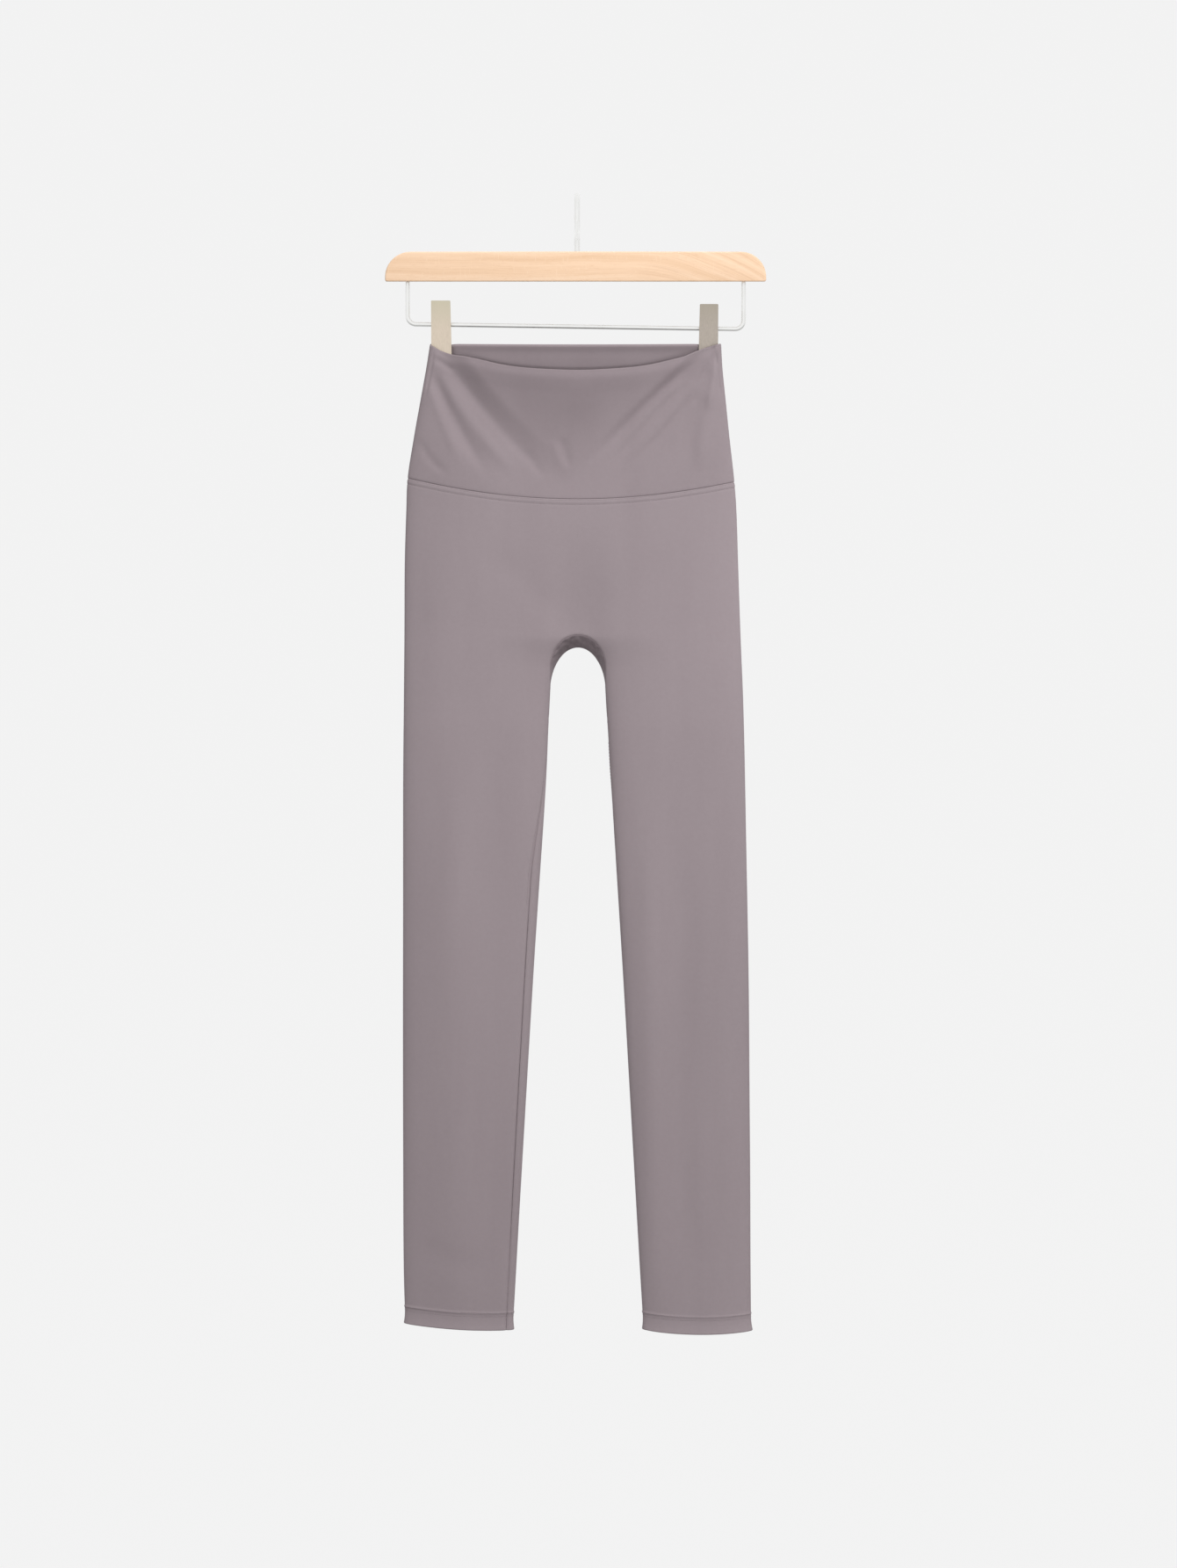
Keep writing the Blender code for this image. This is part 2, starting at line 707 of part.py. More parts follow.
def build_bar(material):
    corners = [
        (-BAR_HALF_LENGTH, BAR_BOTTOM, BAR_LOWER_RADIUS),
        (-BAR_HALF_LENGTH, BAR_TOP_END, BAR_END_RADIUS),
        (0, BAR_TOP_CENTRE, 0),
        (BAR_HALF_LENGTH, BAR_TOP_END, BAR_END_RADIUS),
        (BAR_HALF_LENGTH, BAR_BOTTOM, BAR_LOWER_RADIUS),
    ]
    half = BAR_THICKNESS / 2
    bar = plate("hanger_bar", rounded_outline(corners), -half, half, material)
    add_bevel(bar, BAR_EDGE, 2)
    reach = HOOK_WIRE / 2 + WIRE_CLEARANCE
    mouth = (0, 0, -BAR_TOP_CENTRE + CUTTER_MARGIN)
    hole = rod_cutter("hook_hole", mouth, (0, 0, -HOOK_STEM_END - WIRE_CLEARANCE), reach)
    combine(bar, hole, "DIFFERENCE")
    reach = RAIL_WIRE / 2 + WIRE_CLEARANCE
    for side in SIDES:
        mouth = (RAIL_ENDS[side], 0, -BAR_BOTTOM - CUTTER_MARGIN)
        end = (RAIL_ENDS[side], 0, -RAIL_TOP + WIRE_CLEARANCE)
        hole = rod_cutter("rail_hole_" + side_name(side), mouth, end, reach)
        combine(bar, hole, "DIFFERENCE")


def build_hook(material):
    # A straight stem that steps back into a ring, seen edge-on from the front.
    radius = HOOK_INNER_RADIUS + HOOK_WIRE / 2
    centre = -HOOK_INNER_RADIUS
    start, end = math.radians(HOOK_RING_START), math.radians(HOOK_RING_END)
    ring_start = Vector((radius * math.cos(start), centre + radius * math.sin(start)))
    tangent = Vector((-math.sin(start), math.cos(start)))
    stem_top = Vector((0, ring_start.y - HOOK_NECK_DROP))
    below, above = HOOK_NECK_PULLS
    handles = (stem_top, stem_top + Vector((0, below)), ring_start - tangent * above, ring_start)
    points = [(0, 0, -HOOK_STEM_END), (0, 0, -BAR_TOP_CENTRE)]
    for step in range(HOOK_NECK_STEPS):
        share = step / HOOK_NECK_STEPS
        rest = 1 - share
        weights = (rest ** 3, 3 * rest ** 2 * share, 3 * rest * share ** 2, share ** 3)
        place = sum((handle * weight for handle, weight in zip(handles, weights)), Vector((0, 0)))
        points.append((0, place.x, place.y))
    for step in range(HOOK_RING_STEPS + 1):
        angle = mix(start, end, step / HOOK_RING_STEPS)
        points.append((0, radius * math.cos(angle), centre + radius * math.sin(angle)))
    wire("hanger_hook", points, HOOK_WIRE, 10, material)


def rail_drop(x):
    share = (x - RAIL_ENDS[LEFT]) / (RAIL_ENDS[RIGHT] - RAIL_ENDS[LEFT])
    return mix(RAIL_DROPS[LEFT], RAIL_DROPS[RIGHT], share)


def build_rail(material):
    corners = [
        (RAIL_ENDS[LEFT], RAIL_TOP, 0),
        (RAIL_ENDS[LEFT], RAIL_DROPS[LEFT], RAIL_CORNER),
        (RAIL_ENDS[RIGHT], RAIL_DROPS[RIGHT], RAIL_CORNER),
        (RAIL_ENDS[RIGHT], RAIL_TOP, 0),
    ]
    points = [(x, 0, -drop) for x, drop in rounded_outline(corners)]
    wire("clip_rail", points, RAIL_WIRE, 8, material)


# ---------------------------------------------------------------- clips
def clip_profile(panel, side):
    # Side view of one clip plate, as pairs of y and drop down its inner face.
    jaw_y = FOLD_Y + CORNER_DEPTH - (BAND_CLOTH if panel == FRONT else 0)
    jaw_y += panel * (SEAM_GAP + PAD_THICKNESS + SEAM_GAP)
    top = CLIP_TOP[side]
    pivot = rail_drop((CLIP_INNER_X[side] + CLIP_OUTER_X[side]) / 2)
    jaw_start = top + CLIP_HEIGHT - PAD_HEIGHT - PAD_MARGIN
    return [
        (panel * (CLIP_TOP_Y - CLIP_METAL), top),
        (panel * (CLIP_PIVOT_Y - CLIP_METAL), pivot),
        (jaw_y, jaw_start),
        (jaw_y, top + CLIP_HEIGHT),
    ]


def box_between(name, low, high, material=None):
    shape = bmesh.new()
    bmesh.ops.create_cube(shape, size=1.0)
    for vert in shape.verts:
        vert.co = Vector([mix(a, b, c + 0.5) * MM for a, b, c in zip(low, high, vert.co)])
    if material:
        return finish_mesh(name, shape, material)
    mesh = bpy.data.meshes.new(name)
    shape.to_mesh(mesh)
    shape.free()
    made = bpy.data.objects.new(name, mesh)
    made.hide_render = True
    made.display_type = "WIRE"
    bpy.context.scene.collection.objects.link(made)
    return made


def build_clip_plate(panel, side, material):
    # A bent metal plate, wider at the jaw, with two ears through which the rail passes.
    name = "clip_" + side_name(side) + "_" + panel_name(panel)
    inner = clip_profile(panel, side)
    outer = [(y + panel * CLIP_METAL, drop) for y, drop in reversed(inner)]
    shape = bmesh.new()
    top, bottom = CLIP_TOP[side], CLIP_TOP[side] + CLIP_HEIGHT
    rings = []
    for x_table, flare in ((CLIP_OUTER_X, 0.0), (CLIP_INNER_X, -side * CLIP_FLARE)):
        ring = []
        for y, drop in inner + outer:
            x = x_table[side] + flare * (drop - top) / (bottom - top)
            ring.append(shape.verts.new(Vector((x, y, -drop)) * MM))
        rings.append(ring)
    shape.faces.new(rings[0])
    shape.faces.new(list(reversed(rings[1])))
    count = len(rings[0])
    for index in range(count):
        after = (index + 1) % count
        shape.faces.new([rings[0][after], rings[0][index], rings[1][index], rings[1][after]])
    bmesh.ops.recalc_face_normals(shape, faces=shape.faces)
    made = finish_mesh(name, shape, material)

    pivot = rail_drop((CLIP_INNER_X[side] + CLIP_OUTER_X[side]) / 2)
    step_in = 0.0 if panel == FRONT else CLIP_EAR + SEAM_GAP
    ear_edges = ((CLIP_OUTER_X[side], -side), (CLIP_INNER_X[side], side))
    for number, (edge_x, inward) in enumerate(ear_edges):
        start_x = edge_x + inward * step_in
        low_x, high_x = sorted((start_x, start_x + inward * CLIP_EAR))
        reach = sorted((-panel * CLIP_EAR_REACH, panel * (CLIP_PIVOT_Y - CLIP_METAL / 2)))
        low = (low_x, reach[0], -pivot - CLIP_EAR_HALF_HEIGHT)
        high = (high_x, reach[1], -pivot + CLIP_EAR_HALF_HEIGHT)
        combine(made, box_between(name + "_ear_" + str(number), low, high), "UNION")
    outer_x = CLIP_OUTER_X[side] + CUTTER_MARGIN * side
    inner_x = CLIP_INNER_X[side] - CUTTER_MARGIN * side
    start, end = (outer_x, 0, -rail_drop(outer_x)), (inner_x, 0, -rail_drop(inner_x))
    hole = rod_cutter(name + "_hole", start, end, RAIL_WIRE / 2 + WIRE_CLEARANCE)
    combine(made, hole, "DIFFERENCE")


def build_pad(panel, side, material):
    # Soft pad between a jaw and the cloth it holds.
    name = "pad_" + side_name(side) + "_" + panel_name(panel)
    jaw_y = clip_profile(panel, side)[-1][0]
    ys = sorted((jaw_y - panel * SEAM_GAP, jaw_y - panel * (SEAM_GAP + PAD_THICKNESS)))
    xs = sorted((CLIP_OUTER_X[side] - side * PAD_MARGIN, CLIP_INNER_X[side] + side * PAD_MARGIN))
    bottom = -(CLIP_TOP[side] + CLIP_HEIGHT)
    low = (xs[0], ys[0], bottom + PAD_MARGIN / 2)
    high = (xs[1], ys[1], bottom + PAD_MARGIN / 2 + PAD_HEIGHT)
    add_bevel(box_between(name, low, high, material), PAD_EDGE, 1)


# ---------------------------------------------------------------- assembly
cloth_material = make_material("leggings_jersey", (157, 145, 149), 0.75)
band_material = make_material("waistband_jersey", (150, 138, 142), 0.75)
wood_material = make_material("hanger_wood", (247, 209, 176), 0.55)
wire_material = make_material("hanger_wire", (232, 232, 230), 0.3, 1.0)
clip_material = make_material("clip_metal", (201, 193, 175), 0.35, 1.0)
pad_material = make_material("clip_pad", (214, 212, 206), 0.6)

build_waistband(band_material)
build_panels(cloth_material)
build_bar(wood_material)
build_hook(wire_material)
build_rail(wire_material)
for clip_side in SIDES:
    for clip_panel in (FRONT, BACK):
        build_clip_plate(clip_panel, clip_side, clip_material)
        build_pad(clip_panel, clip_side, pad_material)
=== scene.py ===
import math

import bmesh
import bpy
from mathutils import Matrix, Vector, noise
from mathutils.bvhtree import BVHTree
from mathutils.kdtree import KDTree


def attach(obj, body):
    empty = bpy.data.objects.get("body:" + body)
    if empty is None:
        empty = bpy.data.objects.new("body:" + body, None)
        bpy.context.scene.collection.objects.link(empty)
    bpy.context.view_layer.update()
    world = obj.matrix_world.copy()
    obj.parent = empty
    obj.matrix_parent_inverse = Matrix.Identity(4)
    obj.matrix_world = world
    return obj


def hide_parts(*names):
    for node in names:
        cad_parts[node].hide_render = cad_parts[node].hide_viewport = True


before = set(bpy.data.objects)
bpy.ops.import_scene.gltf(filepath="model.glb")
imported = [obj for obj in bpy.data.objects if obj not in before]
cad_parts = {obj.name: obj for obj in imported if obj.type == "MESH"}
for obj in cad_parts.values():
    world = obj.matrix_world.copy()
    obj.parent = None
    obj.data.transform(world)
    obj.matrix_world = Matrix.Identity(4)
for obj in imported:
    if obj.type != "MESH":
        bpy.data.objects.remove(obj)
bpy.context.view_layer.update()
print("frame loaded:", len(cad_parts), "nodes")

mm = 0.001
left, right = -1, 1
front, back = -1, 1
sides = (left, right)


# small helpers
def mix(start, end, share):
    return start + (end - start) * share


def smoothStep(value):
    value = min(max(value, 0.0), 1.0)
    return value * value * (3.0 - 2.0 * value)


def bell(distance, width):
    return math.exp(-((distance / width) ** 2))


def sideName(side):
    return "left" if side == left else "right"


def tone(red, green, blue):
    # screen colour to the linear colour that a shader takes
    def channel(value):
        value /= 255.0
        return value / 12.92 if value <= 0.04045 else ((value + 0.055) / 1.055) ** 2.4

    return (channel(red), channel(green), channel(blue), 1.0)


def readTable(rows, drop, column):
    # smooth curve through one column of rows that start with their drop
    last = len(rows) - 1
    row = 0
    while row < last - 1 and rows[row + 1][0] < drop:
        row += 1

    def slope(index):
        before, after = rows[max(index - 1, 0)], rows[min(index + 1, last)]
        return (after[column] - before[column]) / (after[0] - before[0])

    lower, upper = rows[row], rows[row + 1]
    span = upper[0] - lower[0]
    share = min(max((drop - lower[0]) / span, 0.0), 1.0)
    square, cube = share * share, share ** 3
    value = (2 * cube - 3 * square + 1) * lower[column]
    value += (cube - 2 * square + share) * span * slope(row)
    value += (3 * square - 2 * cube) * upper[column]
    return value + (cube - square) * span * slope(row + 1)


# form of the garment: the same sizes as its solids have
garment = {
    "sideFolds": [  # drop, left, right
        (136, -138.0, 134.8), (160, -141.7, 136.2), (192, -147.4, 139.4), (225, -153.2, 142.8),
        (262, -158.8, 147.0), (291, -160.0, 149.2), (341, -161.4, 150.9), (408, -161.7, 153.2),
        (472, -162.3, 155.7), (555, -163.0, 157.6), (720, -163.1, 160.6), (884, -163.0, 162.0),
        (1000, -162.4, 162.6), (1062, -160.6, 163.2),
    ],
    "innerFolds": [  # drop, left, right
        (430, -24.4, 26.0), (472, -25.8, 27.2), (555, -29.7, 32.3), (720, -40.4, 42.6),
        (884, -50.2, 52.0), (1062, -60.4, 62.4),
    ],
    "depths": [  # drop, front, back
        (262, 15.0, 13.0), (341, 16.0, 17.0), (408, 16.0, 17.0), (472, 15.5, 16.0),
        (637, 14.0, 14.5), (802, 12.5, 13.0), (967, 10.5, 11.0), (1062, 9.0, 9.0),
    ],
    "foldY": -3.5,
    "roundness": 2.6,
    "crotchX": 0.8,
    "crotchDip": 0.45,
    "crotchDipWidth": 32.0,
    "crotchDipStart": 300.0,
    "cornerDrop": 136.0,
    "bandTop": {front: 163.5, back: 136.4},
    "bandSeamSide": {left: 262.5, right: 266.0},
    "bandSeamCentre": {front: 283.0, back: 270.0},
    # the front's upper edge dips beside a clip and sags between them: depth, place and width
    "clipDip": {left: (4.0, 0.13, 0.12), right: (0.8, 0.22, 0.10)},
    "edgeSag": (1.5, 0.5, 0.25),
    "backSway": (3.4, 0.24, 0.15),  # how far the back stands out, and where
    "cornerDepth": 4.5,
    "cornerRoll": 6.0,
    "clampedShare": 0.17,
    "archTop": {front: 409.1, back: 420.6},
    "archHeight": {front: 30.5, back: 44.0},
    "gussetTip": 490.0,
    "gussetBulge": 2.0,
    "inseamAngle": {left: 152.0, right: 208.0},
    "inseamTurnRows": 4,
    "hemSide": {left: 1053.6, right: 1060.4},
    "hemInner": {left: 1059.6, right: 1059.2},
    "hemSag": {left: 0.3, right: 3.8},
    "hemSagStart": 900.0,
    "sideAtArch": 388.0,
    "sideAtArchEnd": 462.0,
    "sideAtTip": 500.0,
}
# rows of the panels: yoke seam, top of the arch, foot of the arch, tip of the gusset, hem
archRow, archEndRow, tipRow, hemRow = 6, 12, 15, 30
frontStrip, bandStrip = 1 / 11, 2 / 17  # how far the front pieces reach round the side folds


tableColumn = {-1: 1, 1: 2}  # where the tables hold the values of a panel or a side


def alongRows(row, *values):
    # straight steps between values for the yoke seam, both ends of the arch, the tip and the hem
    stops = (0, archRow, archEndRow, tipRow, hemRow)
    step = sum(row > stop for stop in stops[1:4])
    share = (row - stops[step]) / (stops[step + 1] - stops[step])
    return mix(values[step], values[step + 1], share)


def superRound(share, power):
    share = min(max(share, 0.0), 1.0)
    return (1.0 - (1.0 - share) ** power) ** (1.0 / power)


def towardCentre(share):
    return share * (0.16 + 1.28 * share - 0.44 * share * share)


def sideDropOf(side, row):
    return alongRows(row, garment["bandSeamSide"][side], garment["sideAtArch"],
                     garment["sideAtArchEnd"], garment["sideAtTip"], garment["hemSide"][side])


def archAngle(row):
    return math.radians(90.0 * min(max((row - archRow) / (archEndRow - archRow), 0.0), 1.0))


def innerEdge(panel, side, row):
    # inner end of a row: the centre line, then the arch of the crotch, then the inner fold
    top, height = garment["archTop"][panel], garment["archHeight"][panel]
    folds, column = garment["innerFolds"], tableColumn[side]
    drop = alongRows(row, garment["bandSeamCentre"][panel], top, top + height,
                     garment["gussetTip"], garment["hemInner"][side])
    if row <= archRow:
        return mix(0.0, garment["crotchX"], row / archRow), drop
    if row <= archEndRow:
        angle = archAngle(row)
        reach = readTable(folds, top + height, column) - garment["crotchX"]
        return garment["crotchX"] + reach * math.sin(angle), top + height * (1 - math.cos(angle))
    return readTable(folds, drop, column), drop


def panelPoint(panel, side, row, across):
    # across runs from the side fold to the inner end; below 0 it goes round the fold
    if across < 0:
        return panelPoint(-panel, side, row, -across)
    sideDrop = sideDropOf(side, row)
    innerX, innerDrop = innerEdge(panel, side, row)
    outerX = readTable(garment["sideFolds"], sideDrop, tableColumn[side])
    depth = readTable(garment["depths"], mix(sideDrop, innerDrop, 0.5), tableColumn[panel])
    intoLeg = min(max((row - archRow) / (tipRow - archRow), 0.0), 1.0)
    intoLeg = intoLeg ** 1.5 * smoothStep(2 * intoLeg)
    power = garment["roundness"]

    bodyShare = towardCentre(across)
    bodyX = mix(outerX, innerX, bodyShare)
    bodyY = depth * superRound(bodyShare, power)
    dipStart = garment["crotchDipStart"]
    dip = smoothStep((innerDrop - dipStart) / (garment["archTop"][panel] - dipStart))
    dip *= garment["crotchDip"] * bell(bodyX - garment["crotchX"], garment["crotchDipWidth"])
    bodyY *= 1 - dip

    turned = smoothStep((row - tipRow) / garment["inseamTurnRows"])
    seam = mix(180.0, garment["inseamAngle"][side], turned)
    turn = seam * across if panel == front else 360 - (360 - seam) * across
    along = math.cos(math.radians(turn))
    legShare = (1 - along) / 2
    legX = mix(outerX, innerX, legShare)
    legY = depth * (1 - abs(along) ** power) ** (1 / power)
    legY *= front if turn < 180 else back

    share = mix(bodyShare, legShare, intoLeg)
    drop = mix(sideDrop, innerDrop, share * (2 - share))
    sagStart = garment["hemSagStart"]
    sag = smoothStep((drop - sagStart) / (garment["hemSide"][side] - sagStart))
    drop += garment["hemSag"][side] * sag * 4 * share * (1 - share)
    y = garment["foldY"] + mix(panel * bodyY, legY, intoLeg)
    return Vector((mix(bodyX, legX, intoLeg), y, -drop))


def gussetPoint(side, row, share):
    frontEdge = panelPoint(front, side, row, 1.0)
    backEdge = panelPoint(back, side, row, 1.0)
    angle = archAngle(row)
    outward = Vector((-side * math.sin(angle), 0.0, -math.cos(angle)))
    width = (backEdge - frontEdge).length
    backStart, frontStart = (panelPoint(panel, side, archRow, 1.0) for panel in (back, front))
    fullWidth = (backStart - frontStart).length
    bulge = garment["gussetBulge"] * 4 * share * (1 - share) * (width / fullWidth) ** 2
    bulge *= mix(1.0, 0.1, math.sin(angle))
    return frontEdge.lerp(backEdge, share) + outward * bulge


# creases: start, middle and end as x and drop, then half width and depth,
# which is negative for a ridge
creases = {
    "bandFront": [
        (-137, 157, -117.5, 203, -80, 266, 5.5, 2.0),
        (-139, 172, -127, 206, -106, 256, 4.6, -0.9),
        (-133, 154, -102, 206, -54, 263, 6.5, -1.7),
        (-121, 156, -82, 206, -28, 263, 5.0, 1.0),
        (-146, 226, -138, 244, -118, 262, 4.0, 0.8),
        (-24, 226, -18, 242, -9, 258, 3.4, -0.6),
        (-15, 224, -11, 240, -8, 256, 4.0, 1.1),
        (-48, 236, -40, 250, -30, 264, 4.0, 0.7),
        (110, 154, 66, 192, 12, 250, 5.0, 1.3),
        (103, 167, 66, 202, 24, 250, 3.6, -0.7),
        (104, 174, 68, 208, 28, 257, 3.4, 0.8),
        (121, 162, 85, 204, 35, 257, 4.4, -0.9),
        (114, 180, 88, 211, 54, 250, 3.8, 0.9),
        (113, 187, 99, 207, 88, 238, 3.6, -0.7),
        (123, 180, 111, 214, 105, 256, 5.5, 0.9),
        (123, 165, 118, 210, 112, 258, 9.0, -1.9),
        (129, 152, 126.5, 176, 122, 204, 4.2, -1.4),
        (-134, 149, -125, 155.5, -114, 164, 2.8, 1.1),
        (130, 143, 121, 160, 104, 188, 2.6, 0.8),
        (133, 150, 127, 172, 121, 200, 3.4, -0.7),
        (-133.5, 141, -137, 162, -143, 190, 1.6, 1.1),
        (130, 141, 131.5, 162, 135, 190, 1.6, 1.1),
    ],
    "bandBack": [
        (-119, 130, -118, 148, -116, 172, 3.2, -2.0),
        (115.5, 130, 114.5, 148, 113, 172, 2.6, -1.0),
        (-112, 160, -82, 206, -30, 246, 9.0, 2.4),
        (-133, 172, -110, 214, -70, 254, 6.0, 1.8),
        (-124, 164, -98, 210, -52, 250, 6.5, -1.0),
        (-140, 196, -128, 222, -112, 246, 4.5, 1.0),
        (112, 162, 76, 198, 24, 240, 8.5, 2.2),
        (128, 176, 104, 210, 60, 252, 6.0, 1.8),
        (120, 168, 92, 204, 44, 246, 5.5, -1.0),
        (132, 200, 124, 226, 110, 248, 4.5, 1.0),
        (-6, 222, 0, 238, 4, 256, 4.5, 0.9),
        (0, 168, 0, 200, 2, 250, 34.0, 1.6),
    ],
    "front": [
        (-112, 470, -116, 800, -106, 1130, 22.0, -3.0),
        (-50, 560, -64, 800, -76, 1030, 15.0, 1.4),
        (66, 540, 69, 820, 74, 1100, 12.0, -2.2),
        (98, 560, 98, 800, 103, 1040, 13.0, 1.5),
        (142, 600, 140, 800, 138, 1020, 12.0, -0.9),
        (118, 860, 114, 920, 116, 990, 8.0, -0.5),
        (-148, 980, -120, 992, -84, 1004, 10.0, 0.5),
        (-22, 400, -46, 362, -92, 330, 13.0, 0.6),
        (24, 400, 50, 364, 96, 336, 13.0, 0.5),
        (-128, 290, -126, 380, -120, 470, 20.0, -0.8),
    ],
    "back": [
        (-96, 300, -88, 360, -60, 420, 20.0, 1.2),
        (92, 300, 86, 356, 58, 420, 20.0, 1.1),
        (-40, 470, -80, 492, -128, 500, 12.0, 1.1),
        (42, 474, 84, 494, 126, 506, 12.0, 1.0),
        (-110, 560, -106, 780, -112, 1020, 18.0, -1.8),
        (108, 560, 104, 790, 112, 1010, 17.0, -1.6),
        (-72, 600, -74, 820, -82, 1000, 13.0, 1.2),
        (70, 600, 74, 820, 84, 1000, 13.0, 1.1),
        (-34, 560, -60, 590, -92, 600, 9.0, 0.7),
        (38, 590, 66, 612, 96, 618, 9.0, 0.6),
    ],
}
creaseSteps = 14


def creaseRoute(crease):
    x0, drop0, x1, drop1, x2, drop2 = crease[:6]
    route = []
    for step in range(creaseSteps + 1):
        share = step / creaseSteps
        first, second = 2 * (share - 0.5) * (share - 1), 4 * share * (1 - share)
        third = 2 * share * (share - 0.5)
        route.append((first * x0 + second * x1 + third * x2,
                      first * drop0 + second * drop1 + third * drop2))
    return route


def nearestOn(route, x, drop):
    # distance to a route, how far along it, and on which side of it the point lies
    nearest, place, turn = None, 0.0, 0.0
    for index in range(len(route) - 1):
        (ax, ad), (bx, bd) = route[index], route[index + 1]
        stepX, stepD = bx - ax, bd - ad
        share = ((x - ax) * stepX + (drop - ad) * stepD) / (stepX ** 2 + stepD ** 2)
        share = min(max(share, 0.0), 1.0)
        distance = math.hypot(x - ax - stepX * share, drop - ad - stepD * share)
        if nearest is None or distance < nearest:
            nearest, place = distance, (index + share) / (len(route) - 1)
            turn = stepX * (drop - ad) - stepD * (x - ax)
    return nearest, place, turn


creaseRoutes = {name: [(crease, creaseRoute(crease)) for crease in rows]
                for name, rows in creases.items()}


def creaseDepth(name, x, drop):
    total = 0.0
    for crease, route in creaseRoutes[name]:
        width, depth = crease[6:]
        lowX, highX = min(crease[0:5:2]) - 3 * width, max(crease[0:5:2]) + 3 * width
        lowDrop, highDrop = min(crease[1:6:2]) - 3 * width, max(crease[1:6:2]) + 3 * width
        if not (lowX < x < highX and lowDrop < drop < highDrop):
            continue
        distance, place, _ = nearestOn(route, x, drop)
        ends = smoothStep(place / 0.3 + 0.08) * smoothStep((1 - place) / 0.3 + 0.08)
        total += depth * ends * bell(distance, width)
    return total


# between its two corners the front of the waistband sags into a pouch that hangs a little forward
pouch = {
    "rims": {left: (-131, 142, -84, 204, -12, 274), right: (126, 142, 69, 193, -12, 274)},
    "reach": {left: (21.0, 85.0), right: (10.0, 60.0)},  # of the steep wall and the rise behind
    "steepShare": {left: 0.42, right: 0.3},
    "height": (4.0, 14.5),
    "rises": (250.0, 160.0),  # drops between which it grows from the first height to the second
    "edgeForward": 5.0,
    "pouchShadeReach": (10.0, 12.0, 70.0),  # painted shade inside the pouch: reach from either rim, and to full strength at the right
    "pouchShadeAtRight": 0.45,
}
pouchRims = {side: creaseRoute(rim) for side, rim in pouch["rims"].items()}
# the back's step behind the front's upper edge, measured down from that edge
backStep = {"start": -6.3, "rise": 4.5, "end": 40.0, "fall": 30.0, "depth": 1.35, "fromSide": 1.6}


def insidePouch(x, drop):
    # distances from its two rims, or nothing outside them
    leftDistance, _, leftTurn = nearestOn(pouchRims[left], x, drop)
    rightDistance, _, rightTurn = nearestOn(pouchRims[right], x, drop)
    return None if leftTurn > 0 or rightTurn < 0 else {left: leftDistance, right: rightDistance}


def pouchHeight(x, drop):
    distances = insidePouch(x, drop)
    if not distances:
        return 0.0
    inside = 1.0
    for side in sides:
        steep, gentle = (smoothStep(distances[side] / length) for length in pouch["reach"][side])
        inside *= mix(gentle, steep, pouch["steepShare"][side])
    low, high = pouch["rises"]
    return inside * mix(*pouch["height"], smoothStep((drop - low) / (high - low)))


def pouchShadeShare(x, drop):
    # share of painted shade inside the front waistband's pouch: its colour is darkened there
    distances = insidePouch(x, drop)
    if not distances:
        return 0.0
    fromLeft, fromRight, full = pouch["pouchShadeReach"]
    nearRight = smoothStep(distances[right] / fromRight)
    nearRight *= mix(pouch["pouchShadeAtRight"], 1.0, smoothStep(distances[right] / full))
    return smoothStep(distances[left] / fromLeft) * nearRight


def frontEdgeDrop(side, share):
    # the front's upper edge sags between the clips and dips beside them
    drop = mix(garment["cornerDrop"], garment["bandTop"][front], share * (2 - share))
    for depth, place, width in (garment["edgeSag"], garment["clipDip"][side]):
        drop += depth * bell(share - place, width)
    return drop


def bandPoint(panel, side, across, down):
    # across runs from the side fold to the centre, down from the top edge to the yoke seam
    if across < 0:
        return bandPoint(-panel, side, -across, down)
    share = towardCentre(across)
    crown = share * (2 - share)
    sideDrop = mix(garment["cornerDrop"], garment["bandSeamSide"][side], down)
    centreDrop = mix(garment["bandTop"][panel], garment["bandSeamCentre"][panel], down)
    drop = mix(sideDrop, centreDrop, crown)
    if panel == front:
        plainEdge = mix(garment["cornerDrop"], garment["bandTop"][front], crown)
        drop += (frontEdgeDrop(side, share) - plainEdge) * (1 - down) ** 3
    edge = readTable(garment["sideFolds"], sideDrop, tableColumn[side])
    x = mix(edge, 0.0, share)
    fromEdge = abs(x - edge)
    opened = max(0.0, (down - garment["clampedShare"]) / (1 - garment["clampedShare"]))
    roll = garment["cornerRoll"] * (abs(edge) / garment["cornerRoll"]) ** opened
    seamDepth = readTable(garment["depths"], garment["bandSeamSide"][side], tableColumn[panel])
    depth = mix(garment["cornerDepth"], seamDepth, opened ** 1.2)
    depth *= superRound(fromEdge / roll, mix(2.0, garment["roundness"], opened))
    fade = smoothStep((1 - down) / 0.12) * smoothStep((fromEdge - 0.5) / 4.0)
    if panel == front:
        depth += pouch["edgeForward"] * (1 - down) ** 1.2 * crown
        depth += smoothStep((fromEdge - 2.0) / 8.0) * pouchHeight(x, drop)
        depth -= fade * creaseDepth("bandFront", x, drop)
    else:
        sway, swayPlace, swayWidth = garment["backSway"]
        depth += sway * crown * crown * bell(down - swayPlace, swayWidth)
        # it turns away a little where the front's upper edge comes to lie before it
        past = drop - frontEdgeDrop(side, share)
        turned = smoothStep((past - backStep["start"]) / backStep["rise"])
        turned *= smoothStep((backStep["end"] - past) / backStep["fall"])
        depth += backStep["depth"] * turned * smoothStep(crown * backStep["fromSide"])
        depth -= fade * creaseDepth("bandBack", x, drop)
    return Vector((x, garment["foldY"] + panel * depth, -drop))


